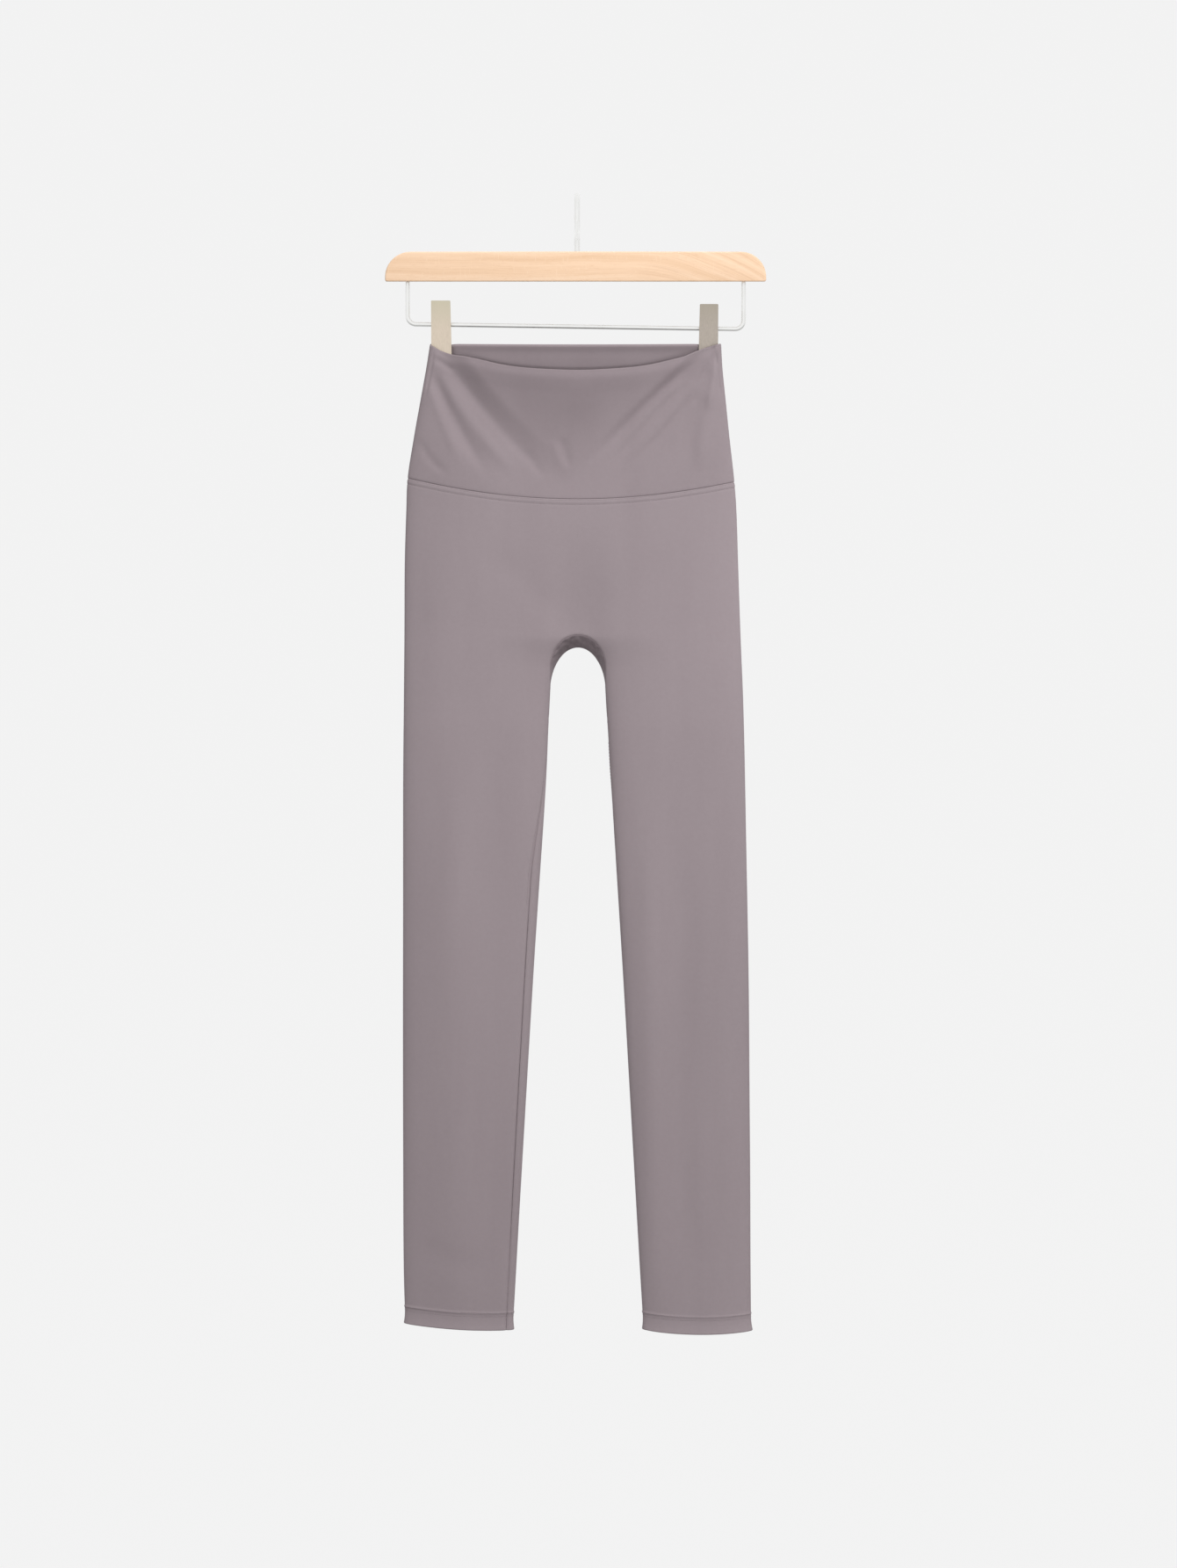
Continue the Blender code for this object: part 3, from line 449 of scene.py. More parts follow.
# making of a cloth piece: grids put in place, borders and seams worked in, then a wall
cloth = {
    "legs": 1.3,
    "hem": 2.2,
    "hemHeight": 16.6,
    "hemEnd": 1.2,  # over this the doubled hem thins to one layer
    "band": 2.0,
    "seamRound": 0.4,
    "ripple": 0.22,  # height of the faint unevenness of soft jersey
    "rippleSize": (30.0, 30.0, 150.0),
}


def spread(start, end, count, power=1.0):
    return [mix(start, end, (step / count) ** power) for step in range(count + 1)]


def foldLine(point):
    return Vector((point.x, garment["foldY"], point.z))


def clothGrid(shape, acrossStops, downStops, place, middle=foldLine):
    # a grid whose corners are put on the garment; the width of the cloth goes into its UVs,
    # and its faces look away from the middle
    columns, rows = len(acrossStops) - 1, len(downStops) - 1
    made = bmesh.ops.create_grid(shape, x_segments=columns, y_segments=rows, size=1)["verts"]
    cells = {}
    for vert in made:
        column, row = round((vert.co.x + 1) / 2 * columns), round((1 - vert.co.y) / 2 * rows)
        vert.co = place(acrossStops[column], downStops[row])
        cells[column, row] = vert
    widths = {}
    for row in range(rows + 1):
        total = 0.0
        for column in range(columns + 1):
            if column:
                total += (cells[column, row].co - cells[column - 1, row].co).length
            widths[cells[column, row]] = total
    uvLayer = shape.loops.layers.uv.verify()
    faces = list({face for vert in made for face in vert.link_faces})
    for loop in (loop for face in faces for loop in face.loops):
        loop[uvLayer].uv = (widths[loop.vert] * mm, loop.vert.co.z * mm)
    shape.normal_update()
    centres = [face.calc_center_median() for face in faces]
    if sum(face.normal.dot(centre - middle(centre)) for face, centre in zip(faces, centres)) < 0:
        bmesh.ops.reverse_faces(shape, faces=faces)
    return cells


def joinPairs(shape, pairs):
    # the two corners of each pair meet halfway and are merged
    for pair in pairs:
        middle = (pair[0].co + pair[1].co) / 2
        for vert in pair:
            vert.co = middle
    bmesh.ops.remove_doubles(shape, verts=[vert for pair in pairs for vert in pair], dist=0.0001)


def closeCentre(shape, halves, rowCount):
    # the two halves of a piece are joined along their last columns
    last = max(column for column, _ in halves[0])
    joinPairs(shape, [[cells[last, row] for cells in halves] for row in range(rowCount)])


class NearLine:
    # distance from a point to the nearest of some lines of the garment
    def __init__(self, lines):
        self.points, self.ends = [], set()
        for line in lines:
            self.points += line
            self.ends.add(len(self.points) - 1)
        self.tree = KDTree(len(self.points))
        for index, point in enumerate(self.points):
            self.tree.insert(point, index)
        self.tree.balance()

    def distance(self, point):
        _, index, nearest = self.tree.find(point)
        for first in (index - 1, index):
            if first < 0 or first in self.ends:
                continue
            start, end = self.points[first], self.points[first + 1]
            step = end - start
            share = min(max((point - start).dot(step) / max(step.length_squared, 1e-9), 0.0), 1.0)
            nearest = min(nearest, (point - start - step * share).length)
        return nearest


def sampled(place, stops):
    # points a millimetre or less apart along a line of the garment
    line = [place(stop) for stop in stops]
    points = []
    for start, end in zip(line, line[1:]):
        steps = max(1, math.ceil((end - start).length))
        points += [start.lerp(end, step / steps) for step in range(steps)]
    return points + [line[-1]]


def nearLines(keys, place, stops):
    return NearLine([sampled(lambda stop: place(key, stop), stops) for key in keys])


def seamRelief(distance):
    # both edges of a seam roll in a little
    return -0.3 * bell(distance, 1.1)


def allowanceRelief(distance):
    # the allowance under the cloth lifts it as far as the second row of stitches, which draws it in
    lifted = 0.15 * smoothStep((distance - 0.4) / 1.6) * smoothStep((6.9 - distance) / 1.4)
    return lifted - 0.38 * bell(distance - 5.2, 0.9) - 0.1 * bell(distance - 1.3, 0.6)


def hemRelief(distance):
    # the cloth stands up along the upper needle row of the folded hem, and the edge flares
    flare = max(0.0, 1 - distance / 13.0)
    needleRow = 0.4 * bell(distance - 16.2, 1.1) - 0.05 * bell(distance - 13.0, 0.8)
    return needleRow + 1.6 * flare * flare


def topEdgeRelief(panel, distance):
    # the folded upper edge leans in: the front's rolls away, the back's tips towards the front
    if panel == front:
        return -1.7 * bell(distance, 4.6)
    return -2.0 * bell(distance, 5.0)


def wallShare(distance, reach):
    # the wall rounds off to nothing at its border, over this reach
    if distance >= reach:
        return 1.0
    return math.sqrt(max(0.0, 1 - (1 - distance / reach) ** 2))


def putInScene(name, data):
    item = bpy.data.objects.new(name, data)
    bpy.context.scene.collection.objects.link(item)
    return item


def addPiece(name, data, slot, *nodes):
    piece = putInScene(name, data)
    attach(piece, "root")
    if nodes:
        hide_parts(*nodes)
    return piece


def meshFrom(name, shape, *materials):
    mesh = bpy.data.meshes.new(name)
    shape.to_mesh(mesh)
    shape.free()
    mesh.shade_smooth()
    for material in materials:
        mesh.materials.append(material)
    return mesh


def addModifier(piece, name, kind, **settings):
    modifier = piece.modifiers.new(name, kind)
    for key, value in settings.items():
        setattr(modifier, key, value)


def roundOff(shape, geometry, radius, segments, affect, **more):
    bmesh.ops.bevel(shape, geom=geometry, offset=radius * mm, segments=segments,
                    profile=0.5, affect=affect, material=-1, **more)


def makeCloth(name, node, shape, wall, relief, material, pouchShade=None):
    # relief gives how far a point stands out, wall how thick the cloth is there and how far
    # the point is from an open edge and from a seam
    shape.normal_update()
    # pouchShade, where given, paints shade: each point gets a share by which its colour is darkened
    pouchShades = [pouchShade(vert.co) for vert in shape.verts] if pouchShade else None
    moves, shares, thickest = [], [], 0.0
    for vert in shape.verts:
        thickness, openEdge, seam = wall(vert.co)
        share = min(wallShare(openEdge, thickness / 2), wallShare(seam, cloth["seamRound"]))
        ripplePlace = [value / size for value, size in zip(vert.co, cloth["rippleSize"])]
        ripple = noise.noise(ripplePlace) * cloth["ripple"]
        moves.append(vert.normal * (relief(vert.co) + ripple - (1 - share) * thickness / 2))
        shares.append(thickness * share)
        thickest = max(thickest, thickness)
    for vert, move in zip(shape.verts, moves):
        vert.co = (vert.co + move) * mm
    mesh = meshFrom(name, shape, material)
    if pouchShades:
        mesh.attributes.new("pouchShade", "FLOAT", "POINT").data.foreach_set("value", pouchShades)
    piece = addPiece(name, mesh, "jersey", node)
    group = piece.vertex_groups.new(name="wall")
    for index, share in enumerate(shares):
        group.add([index], share / thickest, "REPLACE")
    addModifier(piece, "wall", "SOLIDIFY", thickness=thickest * mm, offset=-1, vertex_group="wall")
    print("cloth:", name, len(mesh.polygons), "faces")
    return piece


# materials
class NodeMaker:
    # adds nodes to a material or the world: plain values are set, outputs of other nodes linked
    def __init__(self, owner):
        owner.use_nodes = True
        self.nodes, self.links = owner.node_tree.nodes, owner.node_tree.links

    def give(self, node, values):
        for socket, value in values.items():
            if isinstance(value, bpy.types.NodeSocket):
                self.links.new(value, node.inputs[socket])
            else:
                node.inputs[socket].default_value = value

    def make(self, kind, output, values, **settings):
        node = self.nodes.new("ShaderNode" + kind)
        for key, value in settings.items():
            setattr(node, key, value)
        self.give(node, values)
        return node.outputs[output]

    def maths(self, operation, *values):
        return self.make("Math", 0, dict(enumerate(values)), operation=operation)

    def add(self, first, second):
        return self.maths("ADD", first, second)

    def less(self, first, second):
        return self.maths("SUBTRACT", first, second)

    def times(self, first, second):
        return self.maths("MULTIPLY", first, second)

    def limit(self, value, high=1.0):
        return self.maths("MINIMUM", self.maths("MAXIMUM", value, 0.0), high)

    def axes(self, vector):
        parts = self.nodes.new("ShaderNodeSeparateXYZ")
        self.give(parts, {"Vector": vector})
        return parts.outputs["X"], parts.outputs["Y"], parts.outputs["Z"]

    def blend(self, factor, first, second):
        values = {"Factor": factor, "A": first, "B": second}
        return self.make("Mix", "Result", values, data_type="RGBA")

    def noise(self, vector, scale, detail=3.0, roughness=0.5, stretch=None):
        if stretch:
            vector = self.make("Mapping", "Vector", {"Scale": stretch, "Vector": vector})
        values = {"Scale": scale, "Detail": detail, "Roughness": roughness, "Vector": vector}
        return self.make("TexNoise", "Fac", values)

    def ramp(self, factor, *stops):
        node = self.nodes.new("ShaderNodeValToRGB")
        elements = node.color_ramp.elements
        elements[0].position, elements[0].color = stops[0]
        elements[1].position, elements[1].color = stops[-1]
        for position, colour in stops[1:-1]:
            elements.new(position).color = colour
        self.give(node, {"Fac": factor})
        return node.outputs["Color"]

    def bump(self, height, strength, distance, **below):
        values = {"Strength": strength, "Distance": distance, "Height": height, **below}
        return self.make("Bump", "Normal", values)


class Look(NodeMaker):
    # one material; place holds the outputs that a pattern can follow
    def __init__(self, name, colour, roughness, metallic=0.0):
        self.material = bpy.data.materials.new(name)
        super().__init__(self.material)
        self.finish({"Base Color": colour, "Roughness": roughness, "Metallic": metallic})
        self.place = self.nodes.new("ShaderNodeTexCoord").outputs

    def finish(self, values):
        self.give(self.nodes["Principled BSDF"], values)


jersey = {
    "wale": 0.62,  # width of one column of stitches
    "course": 0.5,  # height of one stitch
    "light": (158, 146, 150),
    "dark": (152, 140, 144),
    # colour of the shade painted into the grooves of the knit
    "groove": (133, 121, 125),
    # colour of the painted shade inside the pouch
    "pouchShadeTone": (128, 116, 120),
    "roughness": 0.78,
    "sheen": 0.18,
    "sheenRoughness": 0.45,
    "sheenTint": (214, 200, 206),
    "knitBump": 0.3,
    "fuzzBump": 0.07,
}


def makeJersey(name, pouchShade=None, darker=0):
    light, dark = (tone(*(value - darker for value in jersey[key])) for key in ("light", "dark"))
    look = Look(name, light, jersey["roughness"])
    count = (1 / (jersey["wale"] * mm), 1 / (jersey["course"] * mm), 1)
    grid = look.make("Mapping", "Vector", {"Scale": count, "Vector": look.place["UV"]})
    across, along, _ = look.axes(grid)
    # each stitch is a V: the courses bend down towards the groove between two wales
    wale = look.less(look.maths("FRACT", across), 0.5)
    course = look.times(look.add(along, look.maths("ABSOLUTE", wale)), math.tau)
    ribs = look.maths("COSINE", look.times(wale, math.tau))
    knit = look.add(look.times(look.maths("SINE", course), 0.35), ribs)
    fuzz = look.noise(look.place["Object"], 1500.0, 2.0)
    normal = look.bump(fuzz, jersey["fuzzBump"], 0.0002)
    normal = look.bump(knit, jersey["knitBump"], 0.0001, Normal=normal)
    # dye varies faintly over the cloth, and shade is painted into the grooves of the knit
    broad = look.noise(look.place["Object"], 1.0, 3.0, 0.5, (34.0, 34.0, 5.0))
    fine = look.noise(look.place["Object"], 260.0, 3.0, 0.6)
    dye = look.add(look.times(broad, 0.6), look.times(fine, 0.4))
    groove = look.times(look.less(1.0, knit), 0.12)
    colour = look.blend(groove, look.ramp(dye, (0.3, dark), (0.7, light)), tone(*jersey["groove"]))
    # painted shade: the colour is darkened towards the shade tone by the pouch attribute
    if pouchShade:
        pouchShadeMask = look.make("Attribute", "Fac", {}, attribute_name="pouchShade")
        colour = look.blend(look.times(pouchShadeMask, pouchShade), colour, tone(*jersey["pouchShadeTone"]))
    look.finish({
        "Base Color": colour, "Normal": normal, "Specular IOR Level": 0.3,
        "Sheen Weight": jersey["sheen"], "Sheen Roughness": jersey["sheenRoughness"],
        "Sheen Tint": tone(*jersey["sheenTint"]),
    })
    return look.material


def makeMottled(name, base, shades, scale, strength, depth, **more):
    # thread and grip pads: plain, with a faint unevenness of this scale
    look = Look(name, tone(*base), 0.6)
    uneven = look.noise(look.place["Object"], scale, 2.0)
    colour = look.ramp(uneven, *((stop, tone(*shade)) for stop, shade in shades))
    look.finish({"Base Color": colour, "Normal": look.bump(uneven, strength, depth), **more})
    return look.material


beechLook = {
    "dark": (231, 192, 154),
    "middle": (245, 209, 175),
    "light": (251, 220, 190),
    "ringLine": (212, 170, 132),
    "pore": (222, 180, 140),
    "rings": (3.2, 120.0, 190.0),
    "fibres": (22.0, 700.0, 2100.0),
    "pores": (190.0, 900.0, 1300.0),
    "flecks": (700.0, 300.0, 130.0),
    "lines": [(0.0, 0.0), (0.43, 0.0), (0.46, 1.0), (0.49, 0.0), (0.56, 0.0), (0.585, 0.8),
              (0.61, 0.0), (1.0, 0.0)],
    "archStart": 0.05,  # where the rings begin to run down towards the right end
    "cathedral": 2.6,  # how fast they do
}


def grey(value):
    return (value, value, value, 1.0)


def makeBeech():
    dark, middle, light = (tone(*beechLook[key]) for key in ("dark", "middle", "light"))
    look = Look("beechLacquered", middle, 0.42)
    place = look.place["Object"]
    # the growth rings wander, and towards the right end they run down in arches
    wander = look.noise(place, 7.0, 2.0, 0.5, (1.0, 0.4, 1.6))
    beyond = look.maths("MAXIMUM", look.less(look.axes(place)[0], beechLook["archStart"]), 0.0)
    arch = look.times(look.maths("POWER", beyond, 2.0), beechLook["cathedral"])
    drift = look.make("CombineXYZ", "Vector", {"Z": look.add(look.times(wander, 0.012), arch)})
    grainPlace = look.make("VectorMath", "Vector", {0: place, 1: drift}, operation="ADD")
    rings = look.noise(grainPlace, 1.0, 1.0, 0.5, beechLook["rings"])
    fibres = look.noise(grainPlace, 1.0, 3.0, 0.65, beechLook["fibres"])
    grain = look.add(look.times(rings, 0.5), look.times(fibres, 0.5))
    colour = look.ramp(grain, (0.28, dark), (0.5, middle), (0.74, light))
    # thin darker lines where the rings meet the face, clearer in the arches
    line = look.ramp(rings, *((stop, grey(value)) for stop, value in beechLook["lines"]))
    clear = look.add(look.maths("MINIMUM", look.times(beyond, 9.0), 0.27), 0.1)
    colour = look.blend(look.times(line, clear), colour, tone(*beechLook["ringLine"]))
    pores = look.noise(place, 1.0, 1.0, 0.5, beechLook["pores"])
    pores = look.limit(look.times(look.less(pores, 0.62), 4.0), 0.25)
    colour = look.blend(pores, colour, tone(*beechLook["pore"]))
    # pale upright flecks of the medullary rays
    flecks = look.noise(place, 1.0, 1.0, 0.5, beechLook["flecks"])
    flecks = look.limit(look.times(look.less(flecks, 0.64), 3.5), 0.4)
    look.finish({
        "Base Color": look.blend(flecks, colour, light), "Normal": look.bump(grain, 0.1, 0.0002),
        "Roughness": look.add(look.times(fibres, 0.2), 0.36),
        "Coat Weight": 0.9, "Coat Roughness": 0.16,
    })
    return look.material


def makeMetal(name, light, dark, roughness, stretch, undersideShade=None, topShade=None):
    look = Look(name, tone(*light), roughness, 1.0)
    brushed = look.noise(look.place["Object"], 1.0, 3.0, 0.6, stretch)
    colour = look.ramp(brushed, (0.3, tone(*dark)), (0.7, tone(*light)))
    if undersideShade:
        # painted shade: the wire is coloured darker where it faces down
        facing = look.axes(look.make("NewGeometry", "Normal", {}))[2]
        paintedShadeMask = look.limit(look.times(look.add(facing, 0.2), -3.0))
        colour = look.blend(paintedShadeMask, colour, tone(*undersideShade))
    if topShade:
        # painted shade: the plates are coloured darker towards the upper end
        height = look.axes(look.place["Object"])[2]
        paintedShadeMask = look.limit(look.times(look.add(height, 0.122), 40.0))
        colour = look.blend(paintedShadeMask, colour, tone(*topShade))
    look.finish({
        "Base Color": colour, "Normal": look.bump(brushed, 0.08, 0.0001),
        "Roughness": look.add(look.times(brushed, 0.16), roughness - 0.08),
    })
    return look.material


metals = {
    "wire": ((253, 253, 252), (248, 248, 246), 0.3, (60.0, 60.0, 60.0)),
    # painted light and shade: one nickel, the left clip's copy coloured lighter and the right
    # clip's darker, for how light falls on each
    "clipLit": ((231, 217, 199), (219, 205, 187), 0.38, (2200.0, 2200.0, 90.0)),
    "clipShaded": ((199, 189, 178), (183, 173, 163), 0.42, (2200.0, 2200.0, 90.0)),
}
legJersey = makeJersey("jerseyLegs")
# painted shade: the gusset's copy of the jersey is darker, for the shade beneath the crotch
shadedGussetJersey = makeJersey("jerseyGussetShaded", None, 16)
# painted shade: the waistband's copy of the jersey is a little darker all over, and darker still
# inside the pouch
shadedBandJersey = makeJersey("jerseyBandShaded", 0.22, 4)
thread = makeMottled("threadPolyester", (146, 134, 138),
                     [(0.35, (134, 122, 126)), (0.65, (156, 144, 148))],
                     900.0, 0.2, 0.0001, **{"Sheen Weight": 0.1})
beech = makeBeech()
wireSteel = makeMetal("wirePlated", *metals["wire"])
# painted shade: the rail's wire is coloured darker where it faces down
railSteel = makeMetal("wireUndersideShaded", *metals["wire"], undersideShade=(196, 196, 194))
# lit and shaded copies of one nickel, for the left and the right clip
clipSteel = {
    left: makeMetal("clipNickelLit", *metals["clipLit"], topShade=(214, 206, 184)),
    right: makeMetal("clipNickelShaded", *metals["clipShaded"], topShade=(184, 175, 161)),
}
gripPad = makeMottled("gripPadVinyl", (214, 212, 206),
                      [(0.3, (204, 201, 194)), (0.7, (222, 220, 214))], 400.0, 0.15, 0.0002)
print("materials made")


# waistband
bandStops = {"edge": [0.0, 0.0015, 0.004, 0.008, 0.014, 0.022, 0.032], "between": (0.044, 0.956)}


def buildBand(panel, name, node):
    acrossStops = spread(bandStrip, 1.0, 62)
    if panel == front:
        acrossStops = spread(-bandStrip, 0.0, 10) + spread(0.0, 1.0, 84)[1:]
    edgeStops = bandStops["edge"]
    downStops = edgeStops + spread(*bandStops["between"], 64)
    downStops += [1 - stop for stop in reversed(edgeStops)]
    shape = bmesh.new()
    halves = [clothGrid(shape, acrossStops, downStops,
                        lambda across, down: bandPoint(panel, side, across, down))
              for side in sides]
    closeCentre(shape, halves, len(downStops))
    steps = spread(acrossStops[0], 1.0, 120)
    topEdge = nearLines(sides, lambda side, across: bandPoint(panel, side, across, 0.0), steps)
    yoke = nearLines(sides, lambda side, across: bandPoint(panel, side, across, 1.0), steps)
    sideSeam = nearLines(sides, lambda side, down: bandPoint(panel, side, acrossStops[0], down),
                         spread(0, 1, 80))

    def wall(point):
        seam = min(yoke.distance(point), sideSeam.distance(point))
        return cloth["band"], topEdge.distance(point), seam

    def relief(point):
        side = left if point.x < 0 else right
        fold = readTable(garment["sideFolds"], -point.z, tableColumn[side])
        fromFold = abs(fold) - abs(point.x)
        total = topEdgeRelief(panel, topEdge.distance(point)) * smoothStep(fromFold / 12.0)
        return total + seamRelief(yoke.distance(point)) + 0.5 * seamRelief(sideSeam.distance(point))

    # painted shade inside the front's pouch; the back gets none
    def pouchShade(point):
        return pouchShadeShare(point.x, -point.z) if panel == front else 0.0

    return makeCloth(name, node, shape, wall, relief, shadedBandJersey, pouchShade)


bandFront = buildBand(front, "bandFront", "waistband_front")
bandBack = buildBand(back, "bandBack", "waistband_back")


# panels
panelStops = {
    "seam": [0.0, 0.15, 0.4, 0.8, 1.3, 1.9, 2.6, 3.4, 4.1, 4.7, 5.2, 5.7, 6.3, 7.1, 8.3, 10.0],
    "hem": [21.0, 19.6, 18.8, 18.2, 17.7, 17.2, 16.8, 16.4, 16.0, 15.6, 15.1, 14.5, 13.8, 13.0,
            12.2, 11.2, 9.8, 8.0, 6.0, 4.0, 2.4, 1.5, 0.9, 0.4, 0.15, 0.0],
    "rowHeight": 21.0,  # of one row below the yoke seam
    "hemRowHeight": 37.6,
    "columnWidth": 152.0,  # half round a leg
}


# the seam down the inside of the legs draws the cloth in below the arch
inseamDraw = {"start": 485.0, "over": 30.0, "depth": 0.85, "width": 1.9,
              "stitchEnd": 680.0, "stitchFade": 60.0, "allowance": 0.6}


def panelRows():
    near = [stop / panelStops["rowHeight"] for stop in panelStops["seam"]]
    rows = near + spread(near[-1], archRow - near[8], 26)[1:]
    rows += [archRow - stop for stop in reversed(near[:8])]
    rows += spread(archRow, archEndRow, 40)[1:]
    rows += spread(archEndRow, tipRow, 15)[1:]
    hem = [hemRow - stop / panelStops["hemRowHeight"] for stop in panelStops["hem"]]
    rows += spread(tipRow, hem[0], 84)[1:]
    return rows + hem[1:]


def buildPanel(name, node, panel, builtSides):
    inner = [1 - stop / panelStops["columnWidth"] for stop in reversed(panelStops["seam"])]
    if panel == front:
        outer = spread(-frontStrip, 0.0, 8) + spread(0.0, inner[0], 46, 1.12)[1:]
    else:
        outer = spread(frontStrip, inner[0], 48)
    acrossStops, downStops = outer + inner[1:], panelRows()
    shape = bmesh.new()
    halves = [clothGrid(shape, acrossStops, downStops,
                        lambda across, row: panelPoint(panel, side, row, across))
              for side in builtSides]
    if len(builtSides) == 2:
        closeCentre(shape, halves, sum(row <= archRow for row in downStops))

    def line(place, stops):
        return nearLines(builtSides, place, stops)

    steps = spread(acrossStops[0], 1.0, 120)
    yoke = line(lambda side, across: panelPoint(panel, side, 0.0, across), steps)
    hem = line(lambda side, across: panelPoint(panel, side, hemRow, across), steps)
    sideSeam = line(lambda side, row: panelPoint(panel, side, row, acrossStops[0]), downStops)
    seamRows = [row for row in downStops if panel == back or row >= archRow]
    inseam = line(lambda side, row: panelPoint(panel, side, row, 1.0), seamRows)

    def wall(point):
        fromHem = hem.distance(point)
        seam = min(yoke.distance(point), sideSeam.distance(point), inseam.distance(point))
        share = smoothStep((cloth["hemHeight"] + cloth["hemEnd"] - fromHem) / cloth["hemEnd"])
        return mix(cloth["legs"], cloth["hem"], share), fromHem, seam

    def relief(point):
        onPanel = panel * (point.y - garment["foldY"])
        total = -creaseDepth("front" if panel == front else "back", point.x, -point.z)
        total *= smoothStep(onPanel / 6.0)
        fromYoke, fromHem, fromInseam = (line.distance(point) for line in (yoke, hem, inseam))
        total += seamRelief(fromYoke) + allowanceRelief(fromYoke) + hemRelief(fromHem)
        total += seamRelief(fromInseam) + 0.6 * seamRelief(sideSeam.distance(point))
        onLeg = smoothStep((-point.z - inseamDraw["start"]) / inseamDraw["over"])
        total -= inseamDraw["depth"] * bell(fromInseam, inseamDraw["width"]) * onLeg
        if panel == front:
            end = smoothStep((inseamDraw["stitchEnd"] + point.z) / inseamDraw["stitchFade"])
            total += inseamDraw["allowance"] * allowanceRelief(fromInseam) * onLeg * end
        return total

    return makeCloth(name, node, shape, wall, relief, legJersey)


frontPanel = buildPanel("frontPanel", "front_panel", front, sides)
backLeft = buildPanel("backLeft", "back_left", back, (left,))
backRight = buildPanel("backRight", "back_right", back, (right,))


# gusset
gussetForm = {
    "margin": 0.012,  # of its width, left free at each seam
    "tipShort": 0.25,  # rows by which it ends before the tip
    "gapDrop": 480.0,  # its cloth looks away from this place in the gap between the legs
    "wrinkle": 1.5,
    "wrinkleSize": 5.0,
    "wrinkleEdge": 4.0,
    "wrinkleEnd": (40.0, 30.0),  # above the tip, and over what length
}


def buildGusset():
    margin, lastRow = gussetForm["margin"], tipRow - gussetForm["tipShort"]
    acrossStops = [margin] + spread(margin + 0.01, 1 - margin - 0.01, 18) + [1 - margin]
    downStops = spread(archRow, archEndRow, 40) + spread(archEndRow, lastRow, 20)[1:]
    shape = bmesh.new()
    gap = Vector((garment["crotchX"], garment["foldY"], -gussetForm["gapDrop"]))
    halves = [clothGrid(shape, acrossStops, downStops,
                        lambda share, row: gussetPoint(side, row, share),
                        lambda point: point * 2 - gap)
              for side in sides]
    joinPairs(shape, [[cells[column, 0] for cells in halves] for column in range(len(acrossStops))])
    ends = (margin, 1 - margin)
    edges = nearLines([(side, share) for side in sides for share in ends],
                      lambda key, row: gussetPoint(key[0], row, key[1]), downStops)
    tips = nearLines(sides, lambda side, share: gussetPoint(side, lastRow, share), ends)

    def wall(point):
        return cloth["legs"], 100.0, min(edges.distance(point), tips.distance(point))

    def relief(point):
        # it wrinkles a little where the two legs draw on it
        fromEdge, (end, over) = edges.distance(point), gussetForm["wrinkleEnd"]
        wrinkle = noise.noise(point / gussetForm["wrinkleSize"])
        wrinkle *= smoothStep(fromEdge / gussetForm["wrinkleEdge"])
        wrinkle *= smoothStep((garment["gussetTip"] - end + point.z) / over)
        return 0.6 * seamRelief(fromEdge) + gussetForm["wrinkle"] * wrinkle

    return makeCloth("crotchGusset", "gusset", shape, wall, relief, shadedGussetJersey)


gusset = buildGusset()


# stitching
stitching = {
    "pitch": 3.0,
    "length": 2.3,
    "width": 0.42,
    "height": 0.26,
    "lift": 0.05,
    "rows": {"yokeNear": 1.3, "yokeFar": 5.2, "inseam": 5.2, "hemLow": 13.0, "hemHigh": 16.2},
}


def surfaceTree(pieces):
    gathered = bmesh.new()
    for piece in pieces:
        gathered.from_mesh(piece.data)
    tree = BVHTree.FromBMesh(gathered)
    gathered.free()
    return tree


def stitchAlong(shape, tree, line):
    # short raised stitches, set end to end along a line that is first laid on the cloth
    laid = []
    for point in line:
        place, normal, _, _ = tree.find_nearest(point * mm)
        laid.append((place / mm, normal))
    travelled, nextStart = 0.0, stitching["pitch"] / 2
    for (start, normal), (end, _) in zip(laid, laid[1:]):
        length = (end - start).length
        while length > 0 and travelled + length >= nextStart:
            place = start.lerp(end, (nextStart - travelled) / length)
            along = (end - start).normalized()
            out = (normal - along * normal.dot(along)).normalized()
            across = out.cross(along)
            turn = Matrix((along, across, out)).transposed().to_4x4()
            half = (stitching["length"] / 2, stitching["width"] / 2, stitching["height"], 1)
            put = Matrix.Scale(mm, 4) @ Matrix.Translation(place + out * stitching["lift"])
            put = put @ turn @ Matrix.Diagonal(half)
            bmesh.ops.create_uvsphere(shape, u_segments=4, v_segments=6, radius=1,
                                      matrix=put @ Matrix.Rotation(math.pi / 2, 4, "Y"))
            nextStart += stitching["pitch"]
        travelled += length


def makeStitches(name, lines):
    shape = bmesh.new()
    for line in lines:
        stitchAlong(shape, panelTree, line)
    mesh = meshFrom(name, shape, thread)
    print("stitches:", name, len(mesh.polygons), "faces")
    return addPiece(name, mesh, "jersey")


def rowLine(panel, row):
    # one line round a panel, from its left side seam to its right one
    start = -frontStrip if panel == front else frontStrip
    stops = spread(start, 1.0, 150)
    return [[panelPoint(panel, side, row, across) for across in stops] for side in sides]


panelTree = surfaceTree([frontPanel, backLeft, backRight])
rows = stitching["rows"]
yokeLines = []
for panel in (front, back):
    for away in (rows["yokeNear"], rows["yokeFar"]):
        leftHalf, rightHalf = rowLine(panel, away / panelStops["rowHeight"])
        yokeLines.append(leftHalf + rightHalf[::-1][1:])
yokeStitches = makeStitches("yokeStitches", yokeLines)

